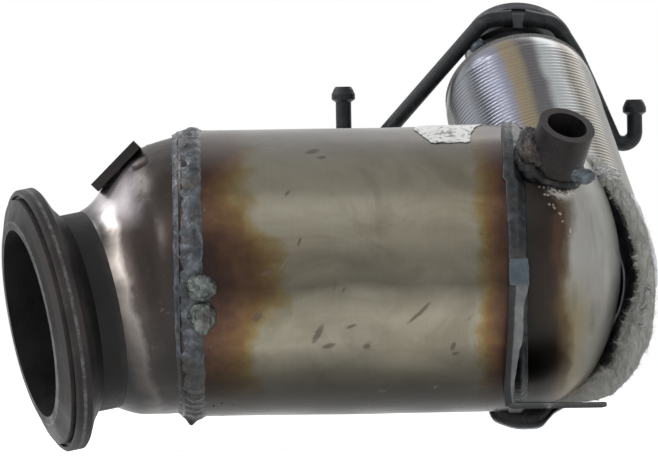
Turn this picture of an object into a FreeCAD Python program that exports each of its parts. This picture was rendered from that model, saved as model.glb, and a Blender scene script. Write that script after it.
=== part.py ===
import FreeCAD, Part
import math
import os
import Sketcher
from FreeCAD import Placement, Rotation, Vector

# Catalytic converter with a V-band inlet, a round can and a lagged outlet pipe.
# Origin: centre of the inlet sealing lip. +X runs along the can, +Z is up.

DIMENSIONS = {
    # inlet flange, measured along its own axis from the sealing lip
    "flange_yaw": 12.5,          # degrees, towards +Y
    "flange_pitch": 10.3,        # degrees, upwards
    "bore_radius": 39.3,
    "neck_wall": 2.0,
    "lip_radius": 42.6,
    "lip_height": 4.9,
    "seat_radius": 51.4,
    "seat_drop": 3.2,
    "groove_width": 1.5,
    "groove_depth": 1.4,
    "rim_height": 3.6,
    "rim_width": 7.2,
    "rim_chamfer": 0.8,
    "clamp_taper": 3.6,
    "shoulder_radius": 47.0,
    "neck_fillet": 4.4,
    "neck_length": 30.0,
    # can
    "can_y": 14.0,
    "can_z": 19.5,
    "can_radius": 59.25,
    "can_start": 62.5,
    "can_length": 138.5,
    "sheet_wall": 1.5,
    "slip_fit": 0.25,
    "spigot_depth": 6.0,
    "bead_rise": 0.9,
    "bead_reach": 10.0,
    "bead_foot": 2.5,
    "seam_reach": 3.0,
    "seam_foot": 4.4,
    "blob_radius": 6.4,
    # inlet cone
    "cone_root_length": 9.0,
    "cone_mouth_radius": 66.0,
    "cone_length": 46.0,
    "cone_shoulder_length": 30.0,
    "cone_shoulder_drop": 11.0,
    "cone_root_radius": 45.8,
    # catalyst and mat
    "brick_setback": 13.0,
    "brick_length": 112.0,
    "mat_thickness": 4.0,
    "mat_margin": 4.0,
    # port plate and plug on the cone
    "port_x": 35.2,
    "port_y": 12.0,
    "port_z": 65.9,
    "port_tilt": 45.0,
    "port_length": 25.2,
    "port_width": 32.0,
    "port_thickness": 4.0,
    "port_bore_radius": 6.0,
    "port_neck_radius": 9.5,
    "port_neck_length": 12.0,
    "plug_radius": 3.2,
    "plug_height": 14.0,
    # outlet dome
    "dome_depth": 42.0,
    "knuckle_radius": 33.0,
    # sensor boss
    "boss_radius": 11.8,
    "boss_bore_radius": 8.4,
    "boss_length": 26.0,
    "boss_along": 17.5,          # from the root of the dome
    "boss_dip": 0.75,            # below the top of the can
    "boss_front": 47.0,          # in front of the can axis
    # bracket
    "bracket_sheet": 3.0,
    "bracket_standoff": 3.2,
    "bracket_drop": 61.0,
    "bracket_depth": 32.0,
    "bracket_leg": 38.0,
    "bracket_hole_radius": 4.25,
    # outlet pipe
    "pipe_radius": 22.0,
    "pipe_run": 112.0,
    "pipe_along": 20.6,          # from the root of the dome
    "pipe_rise": 6.5,            # above the can axis
    "pipe_back": 10.75,          # behind the can wall
    "elbow_root_radius": 19.5,
    "tail_rise": 23.5,
    "collar_radius": 23.6,
    "collar_width": 4.0,
    # lagging
    "foil": 0.8,
    "lagging_radius": 32.5,
    "lagging_root_inset": 11.25,   # each inset is from the can radius
    "lagging_belly_inset": 12.75,
    "lagging_bend_inset": 18.25,
    "lagging_along": 2.6,
    "lagging_bend_along": 11.1,
    "lagging_gap": 2.4,
    "shoulder_length": 12.0,
    "end_ring_width": 3.4,
    "end_ring_rise": 2.4,
    "hood_offset": 10.0,
    "hood_back": 0.75,           # behind the can wall
    "hood_top": 37.5,            # above the can axis
    "hem_back": 5.0,             # behind the can axis
    "hem_width": 8.0,
    "hem_gap": 2.0,
    "hem_lap": 1.2,
    # pressure tubes
    "tube_radius": 3.3,
    "tube_bore_radius": 2.3,
    "bead_radius": 5.0,
    "bead_height": 6.6,
    "saddle_sheet": 1.9,
    "saddle_width": 9.0,
    "saddle_offset": 9.0,
    "saddle_angle": 120.0,
    "tube_weld_radius": 3.8,
    "label_thickness": 0.2,
    "label_length": 26.0,
    "label_angle": 42.0,
}


class Size:
    """A length with its value and the spreadsheet formula that gives it."""

    def __init__(self, value, text=None):
        self.value = float(value)
        self.text = text or repr(float(value))

    def joined(self, sign, other, value):
        return Size(value, f"({self.text} {sign} {other.text})")

    def __add__(self, other):
        other = as_size(other)
        return self.joined("+", other, self.value + other.value)

    def __sub__(self, other):
        other = as_size(other)
        return self.joined("-", other, self.value - other.value)

    def __mul__(self, other):
        other = as_size(other)
        return self.joined("*", other, self.value * other.value)

    def __truediv__(self, other):
        other = as_size(other)
        return self.joined("/", other, self.value / other.value)

    def __float__(self):
        return self.value


def as_size(value):
    return value if isinstance(value, Size) else Size(value)


doc = FreeCAD.newDocument("Converter")
sheet = doc.addObject("Spreadsheet::Sheet", "Sizes")
size = {}
for row, (name, number) in enumerate(DIMENSIONS.items(), start=1):
    sheet.set(f"A{row}", name)
    sheet.set(f"B{row}", str(number))
    sheet.setAlias(f"B{row}", name)
    size[name] = Size(number, f"Sizes.{name}")
doc.recompute()

S = type("Sizes", (), size)
NODES = []


def keep(feature, name):
    """Mark a finished object as one sub-part."""
    feature.Label = name
    NODES.append(feature)
    return feature


def bind(feature, **sizes):
    """Set properties and tie them to the sheet."""
    for prop, value in sizes.items():
        value = as_size(value)
        setattr(feature, prop, value.value)
        feature.setExpression(prop, value.text)
    return feature


def frame(origin, axis):
    """Placement whose local Z points along the axis."""
    return Placement(Vector(*origin), Rotation(Vector(0, 0, 1), Vector(*axis)))


def origin_plane(body, role):
    return next(f for f in body.Origin.OriginFeatures if f.Role == role)


def profile_sketch(body, name, corners, role="XZ_Plane"):
    """Closed polygon, each corner tied to the sheet by two distances."""
    sketch = body.newObject("Sketcher::SketchObject", name)
    sketch.AttachmentSupport = [(origin_plane(body, role), "")]
    sketch.MapMode = "FlatFace"
    corners = [(as_size(across), as_size(along)) for across, along in corners]
    count = len(corners)
    for index, (across, along) in enumerate(corners):
        after = corners[(index + 1) % count]
        start = Vector(across.value, along.value, 0)
        end = Vector(after[0].value, after[1].value, 0)
        sketch.addGeometry(Part.LineSegment(start, end), False)
    for index in range(count):
        sketch.addConstraint(Sketcher.Constraint("Coincident", index, 2, (index + 1) % count, 1))
    for index, corner in enumerate(corners):
        for kind, value, axis in (("DistanceX", corner[0], -2), ("DistanceY", corner[1], -1)):
            if value.value == 0:
                sketch.addConstraint(Sketcher.Constraint("PointOnObject", index, 1, axis))
                continue
            near = (-1, 1, index, 1) if value.value > 0 else (index, 1, -1, 1)
            number = sketch.addConstraint(Sketcher.Constraint(kind, *near, abs(value.value)))
            text = value.text if value.value > 0 else f"-({value.text})"
            sketch.setExpression(f"Constraints[{number}]", text)
    return sketch


def revolved(name, corners, place, angle=360):
    """Body turned about its own Z from a profile of (radius, height) corners."""
    body = doc.addObject("PartDesign::Body", name)
    sketch = profile_sketch(body, name + "_profile", corners)
    turn = body.newObject("PartDesign::Revolution", name + "_turn")
    turn.Profile = sketch
    turn.ReferenceAxis = (sketch, ["V_Axis"])
    turn.Angle = angle
    turn.Midplane = angle != 360
    sketch.Visibility = False
    body.Placement = place
    return body


def cylinder(name, radius, height, place):
    item = doc.addObject("Part::Cylinder", name)
    bind(item, Radius=radius, Height=height)
    item.Placement = place
    return item


def loft(name, sections):
    """Solid through circles given as (radius, origin, axis)."""
    circles = []
    for index, (radius, origin, axis) in enumerate(sections):
        circle = doc.addObject("Part::Circle", f"{name}_ring{index}")
        bind(circle, Radius=radius)
        circle.Placement = frame(origin, axis)
        circles.append(circle)
    item = doc.addObject("Part::Loft", name)
    item.Sections = circles
    item.Solid = True
    item.Ruled = False
    return item


def cut(name, base, tool):
    item = doc.addObject("Part::Cut", name)
    item.Base = base
    item.Tool = tool
    return item


def fuse(name, parts):
    item = doc.addObject("Part::MultiFuse", name)
    item.Shapes = parts
    return item


def common(name, parts):
    item = doc.addObject("Part::MultiCommon", name)
    item.Shapes = parts
    return item


def along(origin, axis, distance):
    return Vector(*origin) + Vector(*axis) * float(distance)


# Main directions and stations
INLET_AXIS = Rotation(Vector(0, 1, 0), -S.flange_pitch.value).multVec(
    Rotation(Vector(0, 0, 1), S.flange_yaw.value).multVec(Vector(1, 0, 0)))
PIPE_AXIS = Vector(-0.193, 0.75, 0.632).normalize()
TAIL_AXIS = Vector(0.09, 0.78, 0.62).normalize()
CAN_AXIS = Vector(1, 0, 0)


def on_can(station, rise=0.0, back=0.0):
    """Point on the can axis at a station along X, with offsets in Z and Y."""
    return Vector(float(station), S.can_y.value + float(back), S.can_z.value + float(rise))


can_end = S.can_start + S.can_length
spigot_radius = S.can_radius - S.sheet_wall - S.slip_fit
dome_start = can_end + S.seam_foot
neck_radius = S.bore_radius + S.neck_wall
flange_radius = S.seat_radius + S.rim_height
PIPE_START = on_can(dome_start + S.pipe_along, S.pipe_rise, S.can_radius + S.pipe_back)
PIPE_END = along(PIPE_START, PIPE_AXIS, S.pipe_run)
TAIL_END = along(PIPE_END, TAIL_AXIS, S.tail_rise)


def make_inlet_flange():
    rim_front = S.lip_height
    rim_back = rim_front + S.rim_width
    groove_outer = S.seat_radius + S.groove_width
    corners = [
        (S.bore_radius, 0),
        (S.lip_radius, 0),
        (S.seat_radius, S.seat_drop),
        (S.seat_radius, rim_front + S.groove_depth),
        (groove_outer, rim_front + S.groove_depth),
        (groove_outer, rim_front),
        (flange_radius - S.rim_chamfer, rim_front),
        (flange_radius, rim_front + S.rim_chamfer),
        (flange_radius, rim_back - S.rim_chamfer),
        (flange_radius - S.rim_chamfer, rim_back),
        (S.shoulder_radius, rim_back + S.clamp_taper),
        (neck_radius, rim_back + S.clamp_taper + S.neck_fillet),
        (neck_radius, S.neck_length),
        (S.bore_radius, S.neck_length),
    ]
    return keep(revolved("inlet_flange", corners, frame((0, 0, 0), INLET_AXIS)), "inlet_flange")


def cone_solid(name, inset):
    """Flared inlet and rounded shoulder that meet, smaller all round by the inset."""
    spread = S.cone_mouth_radius - inset
    flare = [
        (0, S.neck_length),
        (neck_radius - inset, S.neck_length),
        (S.cone_root_radius - inset, S.neck_length + S.cone_root_length),
        (spread, S.neck_length + S.cone_length),
        (0, S.neck_length + S.cone_length),
    ]
    length = S.cone_shoulder_length
    shoulder = [
        (0, 0),
        (spigot_radius - S.cone_shoulder_drop - inset, 0),
        (spigot_radius - S.cone_shoulder_drop * 0.36 - inset, length * 0.33),
        (spigot_radius - S.cone_shoulder_drop * 0.09 - inset, length * 0.67),
        (spigot_radius - inset, length),
        (0, length),
    ]
    place = frame(on_can(S.can_start - S.bead_foot - length), CAN_AXIS)
    return common(name, [
        revolved(name + "_flare", flare, frame((0, 0, 0), INLET_AXIS)),
        revolved(name + "_shoulder", shoulder, place),
    ])


def make_inlet_cone():
    start = S.can_start - S.bead_foot
    reach = S.bead_foot + S.spigot_depth
    place = frame(on_can(start), CAN_AXIS)
    outer = fuse("cone_outer", [cone_solid("cone_skin", as_size(0)),
                                cylinder("cone_spigot", spigot_radius, reach, place)])
    inner = fuse("cone_inner", [cone_solid("cone_hollow", S.sheet_wall),
                                cylinder("cone_mouth", spigot_radius - S.sheet_wall, reach, place)])
    shell = cut("cone_shell", outer, inner)
    bore = cylinder("port_passage", S.port_bore_radius, 40, port_frame(-30))
    return keep(cut("inlet_cone", shell, bore), "inlet_cone")


def port_frame(depth):
    """Frame on the port plate: local Z points out of the cone."""
    tilt = Rotation(Vector(0, 1, 0), -S.port_tilt.value)
    centre = Vector(S.port_x.value, S.port_y.value, S.port_z.value)
    return Placement(centre + tilt.multVec(Vector(0, 0, float(depth))), tilt)


def make_port():
    plate = doc.addObject("PartDesign::Body", "port_plate")
    half_long = S.port_length / 2
    half_wide = S.port_width / 2
    corners = [
        (half_long, half_wide),
        (half_long * -1, half_wide),
        (half_long * -1, half_wide * -1),
        (half_long, half_wide * -1),
    ]
    outline = profile_sketch(plate, "port_outline", corners, "XY_Plane")
    pad = plate.newObject("PartDesign::Pad", "port_pad")
    pad.Profile = outline
    bind(pad, Length=S.port_thickness)
    pad.Reversed = True
    circle = plate.newObject("Sketcher::SketchObject", "port_circle")
    circle.AttachmentSupport = [(origin_plane(plate, "XY_Plane"), "")]
    circle.MapMode = "FlatFace"
    circle.addGeometry(Part.Circle(Vector(0, 0, 0), Vector(0, 0, 1), S.port_bore_radius.value), False)
    circle.addConstraint(Sketcher.Constraint("Coincident", 0, 3, -1, 1))
    radius = circle.addConstraint(Sketcher.Constraint("Radius", 0, S.port_bore_radius.value))
    circle.setExpression(f"Constraints[{radius}]", S.port_bore_radius.text)
    hole = plate.newObject("PartDesign::Pocket", "port_hole")
    hole.Profile = circle
    hole.Type = 1
    hole.Midplane = True
    plate.Placement = port_frame(0)
    keep(plate, "port_plate")

    top = S.port_thickness
    stub = cylinder("port_stub", S.port_neck_radius, S.port_neck_length,
                    port_frame(top * -1 - S.port_neck_length))
    hollow = cylinder("port_stub_bore", S.port_bore_radius, S.port_neck_length,
                      port_frame(top * -1 - S.port_neck_length))
    pipe = cut("port_pipe", stub, hollow)
    keep(cut("port_neck", pipe, cone_solid("port_seat", as_size(0))), "port_neck")


def make_cone_plug():
    tilt = frame(on_can(S.can_start - 10.0, 40.0), (-0.1, 0.25, 0.96))
    pin = cylinder("plug_pin", S.plug_radius, S.plug_height, tilt)
    edge = doc.addObject("Part::Fillet", "plug_round")
    doc.recompute()
    edge.Base = pin
    rim = [index for index, item in enumerate(pin.Shape.Edges, start=1)
           if item.Curve.TypeId == "Part::GeomCircle"
           and tilt.inverse().multVec(item.CenterOfMass).z > S.plug_height.value / 2]
    edge.Edges = [(rim[0], 1.6, 1.6)]
    return keep(cut("cone_plug", edge, cone_solid("plug_seat", as_size(0))), "cone_plug")


def make_can():
    inner = S.can_radius - S.sheet_wall
    corners = [(inner, 0), (S.can_radius, 0), (S.can_radius, S.can_length), (inner, S.can_length)]
    return keep(revolved("can_shell", corners, frame(on_can(S.can_start), CAN_AXIS)), "can_shell")


def make_inlet_weld():
    crown = S.can_radius + S.bead_rise
    foot = S.bead_foot
    corners = [
        (spigot_radius, 0),
        (S.can_radius - 0.3, 0.4),
        (crown, foot + 0.6),
        (crown, foot + S.bead_reach - 2.2),
        (S.can_radius, foot + S.bead_reach),
        (S.can_radius, foot),
        (spigot_radius, foot),
    ]
    ring = revolved("inlet_bead", corners, frame(on_can(S.can_start - foot), CAN_AXIS))
    blobs = []
    for index, rise in enumerate((-7.8, -18.2)):
        ball = doc.addObject("Part::Sphere", f"weld_ball{index}")
        bind(ball, Radius=S.blob_radius)
        out = S.can_radius - 2.6
        back = -(out.value ** 2 - rise ** 2) ** 0.5
        ball.Placement.Base = on_can(S.can_start + 8.0 - index, rise, back)
        blobs.append(ball)
    lumps = fuse("weld_lumps", blobs)
    core = cylinder("weld_core", S.can_radius, S.can_length, frame(on_can(S.can_start), CAN_AXIS))
    return keep(fuse("inlet_weld", [ring, cut("weld_caps", lumps, core)]), "inlet_weld")


def make_brick():
    start = S.can_start + S.brick_setback
    inner = S.can_radius - S.sheet_wall
    brick_radius = inner - S.mat_thickness
    brick = cylinder("catalyst_brick", brick_radius, S.brick_length, frame(on_can(start), CAN_AXIS))
    keep(brick, "catalyst_brick")
    run = S.brick_length - S.mat_margin * 2
    corners = [(brick_radius, 0), (inner, 0), (inner, run), (brick_radius, run)]
    place = frame(on_can(start + S.mat_margin), CAN_AXIS)
    keep(revolved("support_mat", corners, place), "support_mat")


def dome_solid(name, inset):
    """Dished end that closes the can: a knuckle arc running into a crown arc."""
    radius = spigot_radius - inset
    depth = S.dome_depth - inset
    knuckle = S.knuckle_radius - inset
    offset = radius.value - knuckle.value
    crown = ((offset ** 2 + depth.value ** 2 - knuckle.value ** 2)
             / (2 * (depth.value - knuckle.value)))
    slope = math.atan2(crown - depth.value, offset)
    hub = Vector(offset, 0, 0)
    peak = Vector(0, depth.value - crown, 0)
    join = hub + Vector(math.cos(slope), math.sin(slope), 0) * knuckle.value
    up = Vector(0, 0, 1)
    body = doc.addObject("PartDesign::Body", name)
    sketch = body.newObject("Sketcher::SketchObject", name + "_profile")
    sketch.AttachmentSupport = [(origin_plane(body, "XZ_Plane"), "")]
    sketch.MapMode = "FlatFace"
    base, low, high, axis = sketch.addGeometry([
        Part.LineSegment(Vector(0, 0, 0), Vector(radius.value, 0, 0)),
        Part.ArcOfCircle(Part.Circle(hub, up, knuckle.value), 0, slope),
        Part.ArcOfCircle(Part.Circle(peak, up, crown), slope, math.pi / 2),
        Part.LineSegment(Vector(0, depth.value, 0), Vector(0, 0, 0)),
    ], False)
    rules = [
        ("Coincident", base, 1, -1, 1), ("PointOnObject", base, 2, -1),
        ("Coincident", low, 1, base, 2), ("PointOnObject", low, 3, -1),
        ("Tangent", low, 2, high, 1), ("PointOnObject", high, 3, -2),
        ("Coincident", high, 2, axis, 1), ("PointOnObject", axis, 1, -2),
        ("Coincident", axis, 2, -1, 1),
    ]
    for rule in rules:
        sketch.addConstraint(Sketcher.Constraint(*rule))
    for rule, value in ((("DistanceX", -1, 1, base, 2), radius),
                        (("Radius", low), knuckle),
                        (("DistanceY", -1, 1, axis, 1), depth)):
        number = sketch.addConstraint(Sketcher.Constraint(*rule, value.value))
        sketch.setExpression(f"Constraints[{number}]", value.text)
    turn = body.newObject("PartDesign::Revolution", name + "_turn")
    turn.Profile = sketch
    turn.ReferenceAxis = (sketch, ["V_Axis"])
    turn.Angle = 360
    body.Placement = frame(on_can(dome_start), CAN_AXIS)
    return body


def dome_envelope(name, inset):
    """Dished end together with the spigot that enters the can."""
    reach = S.spigot_depth + S.seam_foot
    place = frame(on_can(can_end - S.spigot_depth), CAN_AXIS)
    spigot = cylinder(name + "_spigot", spigot_radius - inset, reach, place)
    return fuse(name, [dome_solid(name + "_dish", inset), spigot])


def elbow_solid(name, inset):
    """Tapered bend from inside the dome to the straight pipe."""
    start = on_can(dome_start + 20.6, -2.5, 8.0)
    middle = on_can(dome_start + 20.9, -2.0, 40.0)
    return loft(name, [
        (S.elbow_root_radius - inset, start, Vector(0, 1, 0)),
        (S.elbow_root_radius + 0.5 - inset, middle, Vector(0, 0.99, 0.1)),
        (S.pipe_radius - inset, PIPE_START, PIPE_AXIS),
    ])


def make_outlet_dome():
    shell = cut("dome_shell", dome_envelope("dome_skin", as_size(0)),
                dome_envelope("dome_hollow", S.sheet_wall))
    passages = fuse("dome_passages", [
        elbow_solid("dome_outlet", S.sheet_wall),
        cylinder("dome_sensor_hole", S.boss_bore_radius, S.boss_length, boss_frame(S.boss_length * -1)),
    ])
    return keep(cut("outlet_dome", shell, passages), "outlet_dome")


BOSS_AXIS = Vector(0.28, -0.55, 0.79).normalize()
BOSS_MOUTH = on_can(dome_start + S.boss_along, S.can_radius - S.boss_dip, S.boss_front * -1)


def boss_frame(depth):
    return frame(along(BOSS_MOUTH, BOSS_AXIS, depth), BOSS_AXIS)


def make_sensor_boss():
    outer = cylinder("boss_outer", S.boss_radius, S.boss_length, boss_frame(S.boss_length * -1))
    inner = cylinder("boss_inner", S.boss_bore_radius, S.boss_length, boss_frame(S.boss_length * -1))
    tube = cut("boss_tube", outer, inner)
    keep(cut("sensor_boss", tube, dome_envelope("boss_seat", as_size(0))), "sensor_boss")


def make_outlet_seam():
    crown = S.can_radius + S.bead_rise
    reach = S.seam_reach
    corners = [
        (S.can_radius, 0),
        (crown, 0.7),
        (crown, reach + 1.2),
        (S.can_radius - 0.6, reach + S.seam_foot - 0.4),
        (spigot_radius, reach + S.seam_foot),
        (spigot_radius, reach),
        (S.can_radius, reach),
    ]
    keep(revolved("outlet_weld", corners, frame(on_can(can_end - reach), CAN_AXIS)), "outlet_weld")


def make_bracket():
    """Gusset on the seam with one leg folded along the can."""
    front = S.can_radius + S.bracket_standoff
    sheet_place = on_can(can_end - S.bracket_sheet / 2 + 0.4)
    gusset = doc.addObject("Part::Box", "bracket_gusset")
    bind(gusset, Length=S.bracket_sheet, Width=S.bracket_depth, Height=S.bracket_drop)
    gusset.Placement.Base = sheet_place - Vector(0, front.value, S.bracket_drop.value)
    leg = doc.addObject("Part::Box", "bracket_foot")
    bind(leg, Length=S.bracket_leg, Width=S.bracket_depth, Height=S.bracket_sheet)
    leg.Placement.Base = gusset.Placement.Base
    blank = fuse("bracket_blank", [gusset, leg])
    crown = cylinder("bracket_saddle", S.can_radius + S.bead_rise, 60,
                     frame(on_can(can_end - 30), CAN_AXIS))
    hole_at = leg.Placement.Base + Vector(S.bracket_leg.value - 13, S.bracket_depth.value / 2, -5)
    hole = cylinder("bracket_hole", S.bracket_hole_radius, 15, frame(hole_at, (0, 0, 1)))
    keep(cut("mounting_bracket", blank, fuse("bracket_cuts", [crown, hole])), "mounting_bracket")


def pipe_solid(name, inset):
    """Bend, straight run and tail of the outlet pipe."""
    bend = elbow_solid(name + "_bend", inset)
    run = cylinder(name + "_run", S.pipe_radius - inset, S.pipe_run, frame(PIPE_START, PIPE_AXIS))
    tail = loft(name + "_tail", [
        (S.pipe_radius - inset, PIPE_END, PIPE_AXIS),
        (S.pipe_radius - inset, TAIL_END, TAIL_AXIS),
    ])
    return fuse(name, [bend, run, tail])


def make_outlet_pipe():
    shell = cut("pipe_shell", pipe_solid("pipe_skin", as_size(0)), pipe_solid("pipe_hollow", S.sheet_wall))
    keep(cut("outlet_pipe", shell, dome_solid("pipe_seat", as_size(0))), "outlet_pipe")

    corners = [
        (S.pipe_radius - S.sheet_wall, 0),
        (S.collar_radius - 0.6, 0),
        (S.collar_radius, 0.6),
        (S.collar_radius, S.collar_width - 0.6),
        (S.collar_radius - 0.6, S.collar_width),
        (S.pipe_radius - S.sheet_wall, S.collar_width),
    ]
    keep(revolved("outlet_collar", corners, frame(TAIL_END, TAIL_AXIS)), "outlet_collar")


lagging_root = dome_start + S.lagging_along
LAGGING_STATIONS = [
    (S.can_radius - S.lagging_root_inset, on_can(lagging_root, -14, 12), Vector(0.02, 1, -0.1)),
    (S.can_radius - S.lagging_belly_inset, on_can(lagging_root, -24, 34), Vector(0.02, 1, 0.05)),
    (S.can_radius - S.lagging_bend_inset, on_can(dome_start + S.lagging_bend_along, -9, 56),
     Vector(0.05, 0.93, 0.37)),
    (S.lagging_radius, PIPE_START, PIPE_AXIS),
]


def hood_solid(name, inset, front, back, top):
    """Slice of a larger dome that wraps the outlet dome, from front to back along Y."""
    shell = dome_solid(name + "_swell", inset - S.hood_offset)
    slab = doc.addObject("Part::Box", name + "_slab")
    bind(slab, Length=80, Width=back - front, Height=top + 80)
    slab.Placement.Base = on_can(dome_start, -80, front)
    return common(name, [shell, slab])


def lagging_solids(name, inset, open_by=0):
    """Hood, bend and straight run of the lagging, smaller all round by the inset."""
    inset = as_size(inset)
    hood = hood_solid(name + "_hood", inset, S.hem_back - open_by, S.can_radius + S.hood_back - inset,
                      S.hood_top + open_by)
    bend = loft(name + "_bend", [(radius - inset, spot, axis) for radius, spot, axis in LAGGING_STATIONS])
    radius = S.lagging_radius - inset
    ring = S.pipe_radius + S.end_ring_rise
    run = S.pipe_run - inset
    corners = [
        (0, 0),
        (radius, 0),
        (radius, run - S.shoulder_length),
        (radius - 1.6, run - S.shoulder_length * 0.5),
        (radius - 4.6, run - S.shoulder_length * 0.18),
        (ring - 0.2, run),
        (0, run),
    ]
    return hood, bend, revolved(name + "_run", corners, frame(PIPE_START, PIPE_AXIS))


def can_clearance(name):
    """Room that the lagging leaves round the can and its seam."""
    return cylinder(name, S.can_radius + S.bead_rise + 0.5, 80,
                    frame(on_can(can_end - 75), CAN_AXIS))


def make_lagging():
    hood, bend, run = lagging_solids("lagging", 0)
    hood_room, bend_room, run_room = lagging_solids("lagging_room", S.foil, S.foil * 2)
    clearance = fuse("foil_clearance", [dome_solid("foil_dome", S.lagging_gap * -1),
                                        can_clearance("foil_can")])
    run_clearance = fuse("run_clearance", [hood_room, clearance, pipe_solid("foil_pipe", as_size(0))])
    hood_skin = cut("hood_skin", cut("hood_wall", hood, hood_room), fuse("hood_cover", [bend, run]))
    bend_skin = cut("bend_skin", cut("bend_wall", bend, bend_room), hood_room)
    keep(fuse("jacket_foil", [
        cut("hood_foil", hood_skin, clearance),
        cut("bend_foil", bend_skin, clearance),
        cut("run_foil", cut("run_skin", cut("run_wall", run, run_room), bend_room), run_clearance),
    ]), "jacket_foil")

    filling = fuse("mat_filling", [dome_solid("mat_dome", S.lagging_gap * -1),
                                   can_clearance("mat_clearance"), pipe_solid("mat_pipe", as_size(0))])
    room = fuse("mat_room", list(lagging_solids("mat", S.foil)))
    keep(cut("insulation_mat", room, filling), "insulation_mat")


def make_hem():
    """Ragged fibre edge folded round the front of the lagging."""
    outer = hood_solid("hem_outer", S.hem_lap * -1, S.hem_back - S.hem_width, S.hem_back, S.hood_top)
    inner = dome_solid("hem_inner", S.hem_gap * -1)
    trimmed = cut("hem_ring", outer, inner)
    keep(cut("jacket_hem", trimmed, can_clearance("hem_clearance")), "jacket_hem")


def make_end_ring():
    inner = S.pipe_radius
    outer = S.pipe_radius + S.end_ring_rise
    corners = [
        (inner, 0),
        (outer - 0.7, 0),
        (outer, 0.7),
        (outer, S.end_ring_width - 0.7),
        (outer - 0.7, S.end_ring_width),
        (inner, S.end_ring_width),
    ]
    keep(revolved("jacket_end_ring", corners, frame(PIPE_END, PIPE_AXIS)), "jacket_end_ring")


def rounded_path(name, points, radii):
    """Wire of straight runs joined by tangent arcs."""
    points = [Vector(*point) for point in points]
    edges = []
    here = points[0]
    for index, radius in enumerate(radii, start=1):
        corner = points[index]
        back = (points[index - 1] - corner).normalize()
        on = (points[index + 1] - corner).normalize()
        half = back.getAngle(on) / 2
        reach = radius / math.tan(half)
        start = corner + back * reach
        end = corner + on * reach
        bisector = (back + on).normalize()
        middle = corner + bisector * (radius / math.sin(half) - radius)
        edges.append(Part.LineSegment(here, start).toShape())
        edges.append(Part.Arc(start, middle, end).toShape())
        here = end
    edges.append(Part.LineSegment(here, points[-1]).toShape())
    path = doc.addObject("Part::Feature", name)
    path.Shape = Part.Wire(edges)
    return path


def swept(name, path, radius):
    """Round bar of the given radius along a path."""
    edges = path.Shape.Edges
    start = edges[0].Vertexes[0].Point
    circle = doc.addObject("Part::Circle", name + "_ring")
    bind(circle, Radius=radius)
    circle.Placement = frame(start, edges[0].tangentAt(edges[0].FirstParameter))
    item = doc.addObject("Part::Sweep", name)
    item.Sections = [circle]
    item.Spine = (path, [f"Edge{number}" for number in range(1, len(edges) + 1)])
    item.Solid = True
    item.Frenet = False
    return item


def from_pipe(*offsets):
    """Points given from the start of the straight pipe."""
    return [PIPE_START + Vector(*offset) for offset in offsets]


LEFT_ROUTE = from_pipe(
    (-22.5, 76.5, 99.5),
    (-34.5, 76.5, 98.4),
    (-94.7, 76.5, 31.6),
    (-94.7, 76.5, 64.7),
)
RIGHT_ROUTE = from_pipe(
    (-17.5, 76.5, 99.6),
    (-3.8, 76.5, 96.4),
    (4.3, 83.5, 83.3),
    (11.5, 97.0, 67.5),
    (29.1, 97.0, 25.5),
    (29.1, 97.0, 57.4),
)


def make_tube(name, route, radii):
    """Steel pressure tube with a pressed bead at its open end."""
    path = rounded_path(name + "_path", route, radii)
    corners = [
        (S.tube_bore_radius, 0),
        (S.tube_radius, 0),
        (S.bead_radius, 1.2),
        (S.bead_radius, S.bead_height * 0.5),
        (S.bead_radius - 0.9, S.bead_height - 1.2),
        (S.tube_radius, S.bead_height),
        (S.tube_bore_radius, S.bead_height),
    ]
    bead = revolved(name + "_bead", corners, frame(route[-1], (0, 0, 1)))
    bar = swept(name + "_bar", path, S.tube_radius)
    hollow = swept(name + "_hollow", path, S.tube_bore_radius)
    return keep(fuse(name, [cut(name + "_wall", bar, hollow), bead]), name)


def faced(origin, axis, outward):
    """Placement with local Z on the axis and local X as near as can be to outward."""
    axis = Vector(*axis).normalize()
    across = axis.cross(Vector(*outward)).normalize()
    return Placement(Vector(*origin), Rotation(across.cross(axis), across, axis, "ZXY"))


def make_saddle():
    outer = S.pipe_radius + S.saddle_sheet
    corners = [
        (S.pipe_radius, 0),
        (outer, 0),
        (outer, S.saddle_width),
        (S.pipe_radius, S.saddle_width),
    ]
    place = faced(along(PIPE_END, TAIL_AXIS, S.saddle_offset), TAIL_AXIS, (0.1, -0.4, 1))
    band = revolved("saddle_band", corners, place, S.saddle_angle.value)
    clear = fuse("saddle_seat", [pipe_solid("saddle_pipe", as_size(0)),
                                 doc.getObject("right_pressure_tube_bar")])
    return keep(cut("tube_saddle", band, clear), "tube_saddle")


def make_tube_weld(saddle):
    ball = doc.addObject("Part::Sphere", "tube_weld_ball")
    bind(ball, Radius=S.tube_weld_radius)
    ball.Placement.Base = from_pipe((-37.5, 77.5, 87.2))[0]
    bar = doc.getObject("left_pressure_tube_bar")
    seats = fuse("tube_weld_seats", [bar, saddle, pipe_solid("tube_weld_pipe", as_size(0))])
    keep(cut("tube_weld", ball, seats), "tube_weld")


def make_label():
    corners = [
        (S.can_radius, 0),
        (S.can_radius + S.label_thickness, 0),
        (S.can_radius + S.label_thickness, S.label_length),
        (S.can_radius, S.label_length),
    ]
    place = faced(on_can(S.can_start + 99.5), CAN_AXIS, (0, -0.225, 0.974))
    keep(revolved("label_scrap", corners, place, S.label_angle.value), "label_scrap")


make_inlet_flange()
make_inlet_cone()
make_port()
make_cone_plug()
make_can()
make_inlet_weld()
make_brick()
make_outlet_dome()
make_sensor_boss()
make_outlet_seam()
make_bracket()
make_outlet_pipe()
make_lagging()
make_end_ring()
make_hem()
make_tube("left_pressure_tube", LEFT_ROUTE, (12.0, 7.0))
make_tube("right_pressure_tube", RIGHT_ROUTE, (8.0, 10.0, 10.0, 5.0))
saddle = make_saddle()
make_tube_weld(saddle)
make_label()

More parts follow.
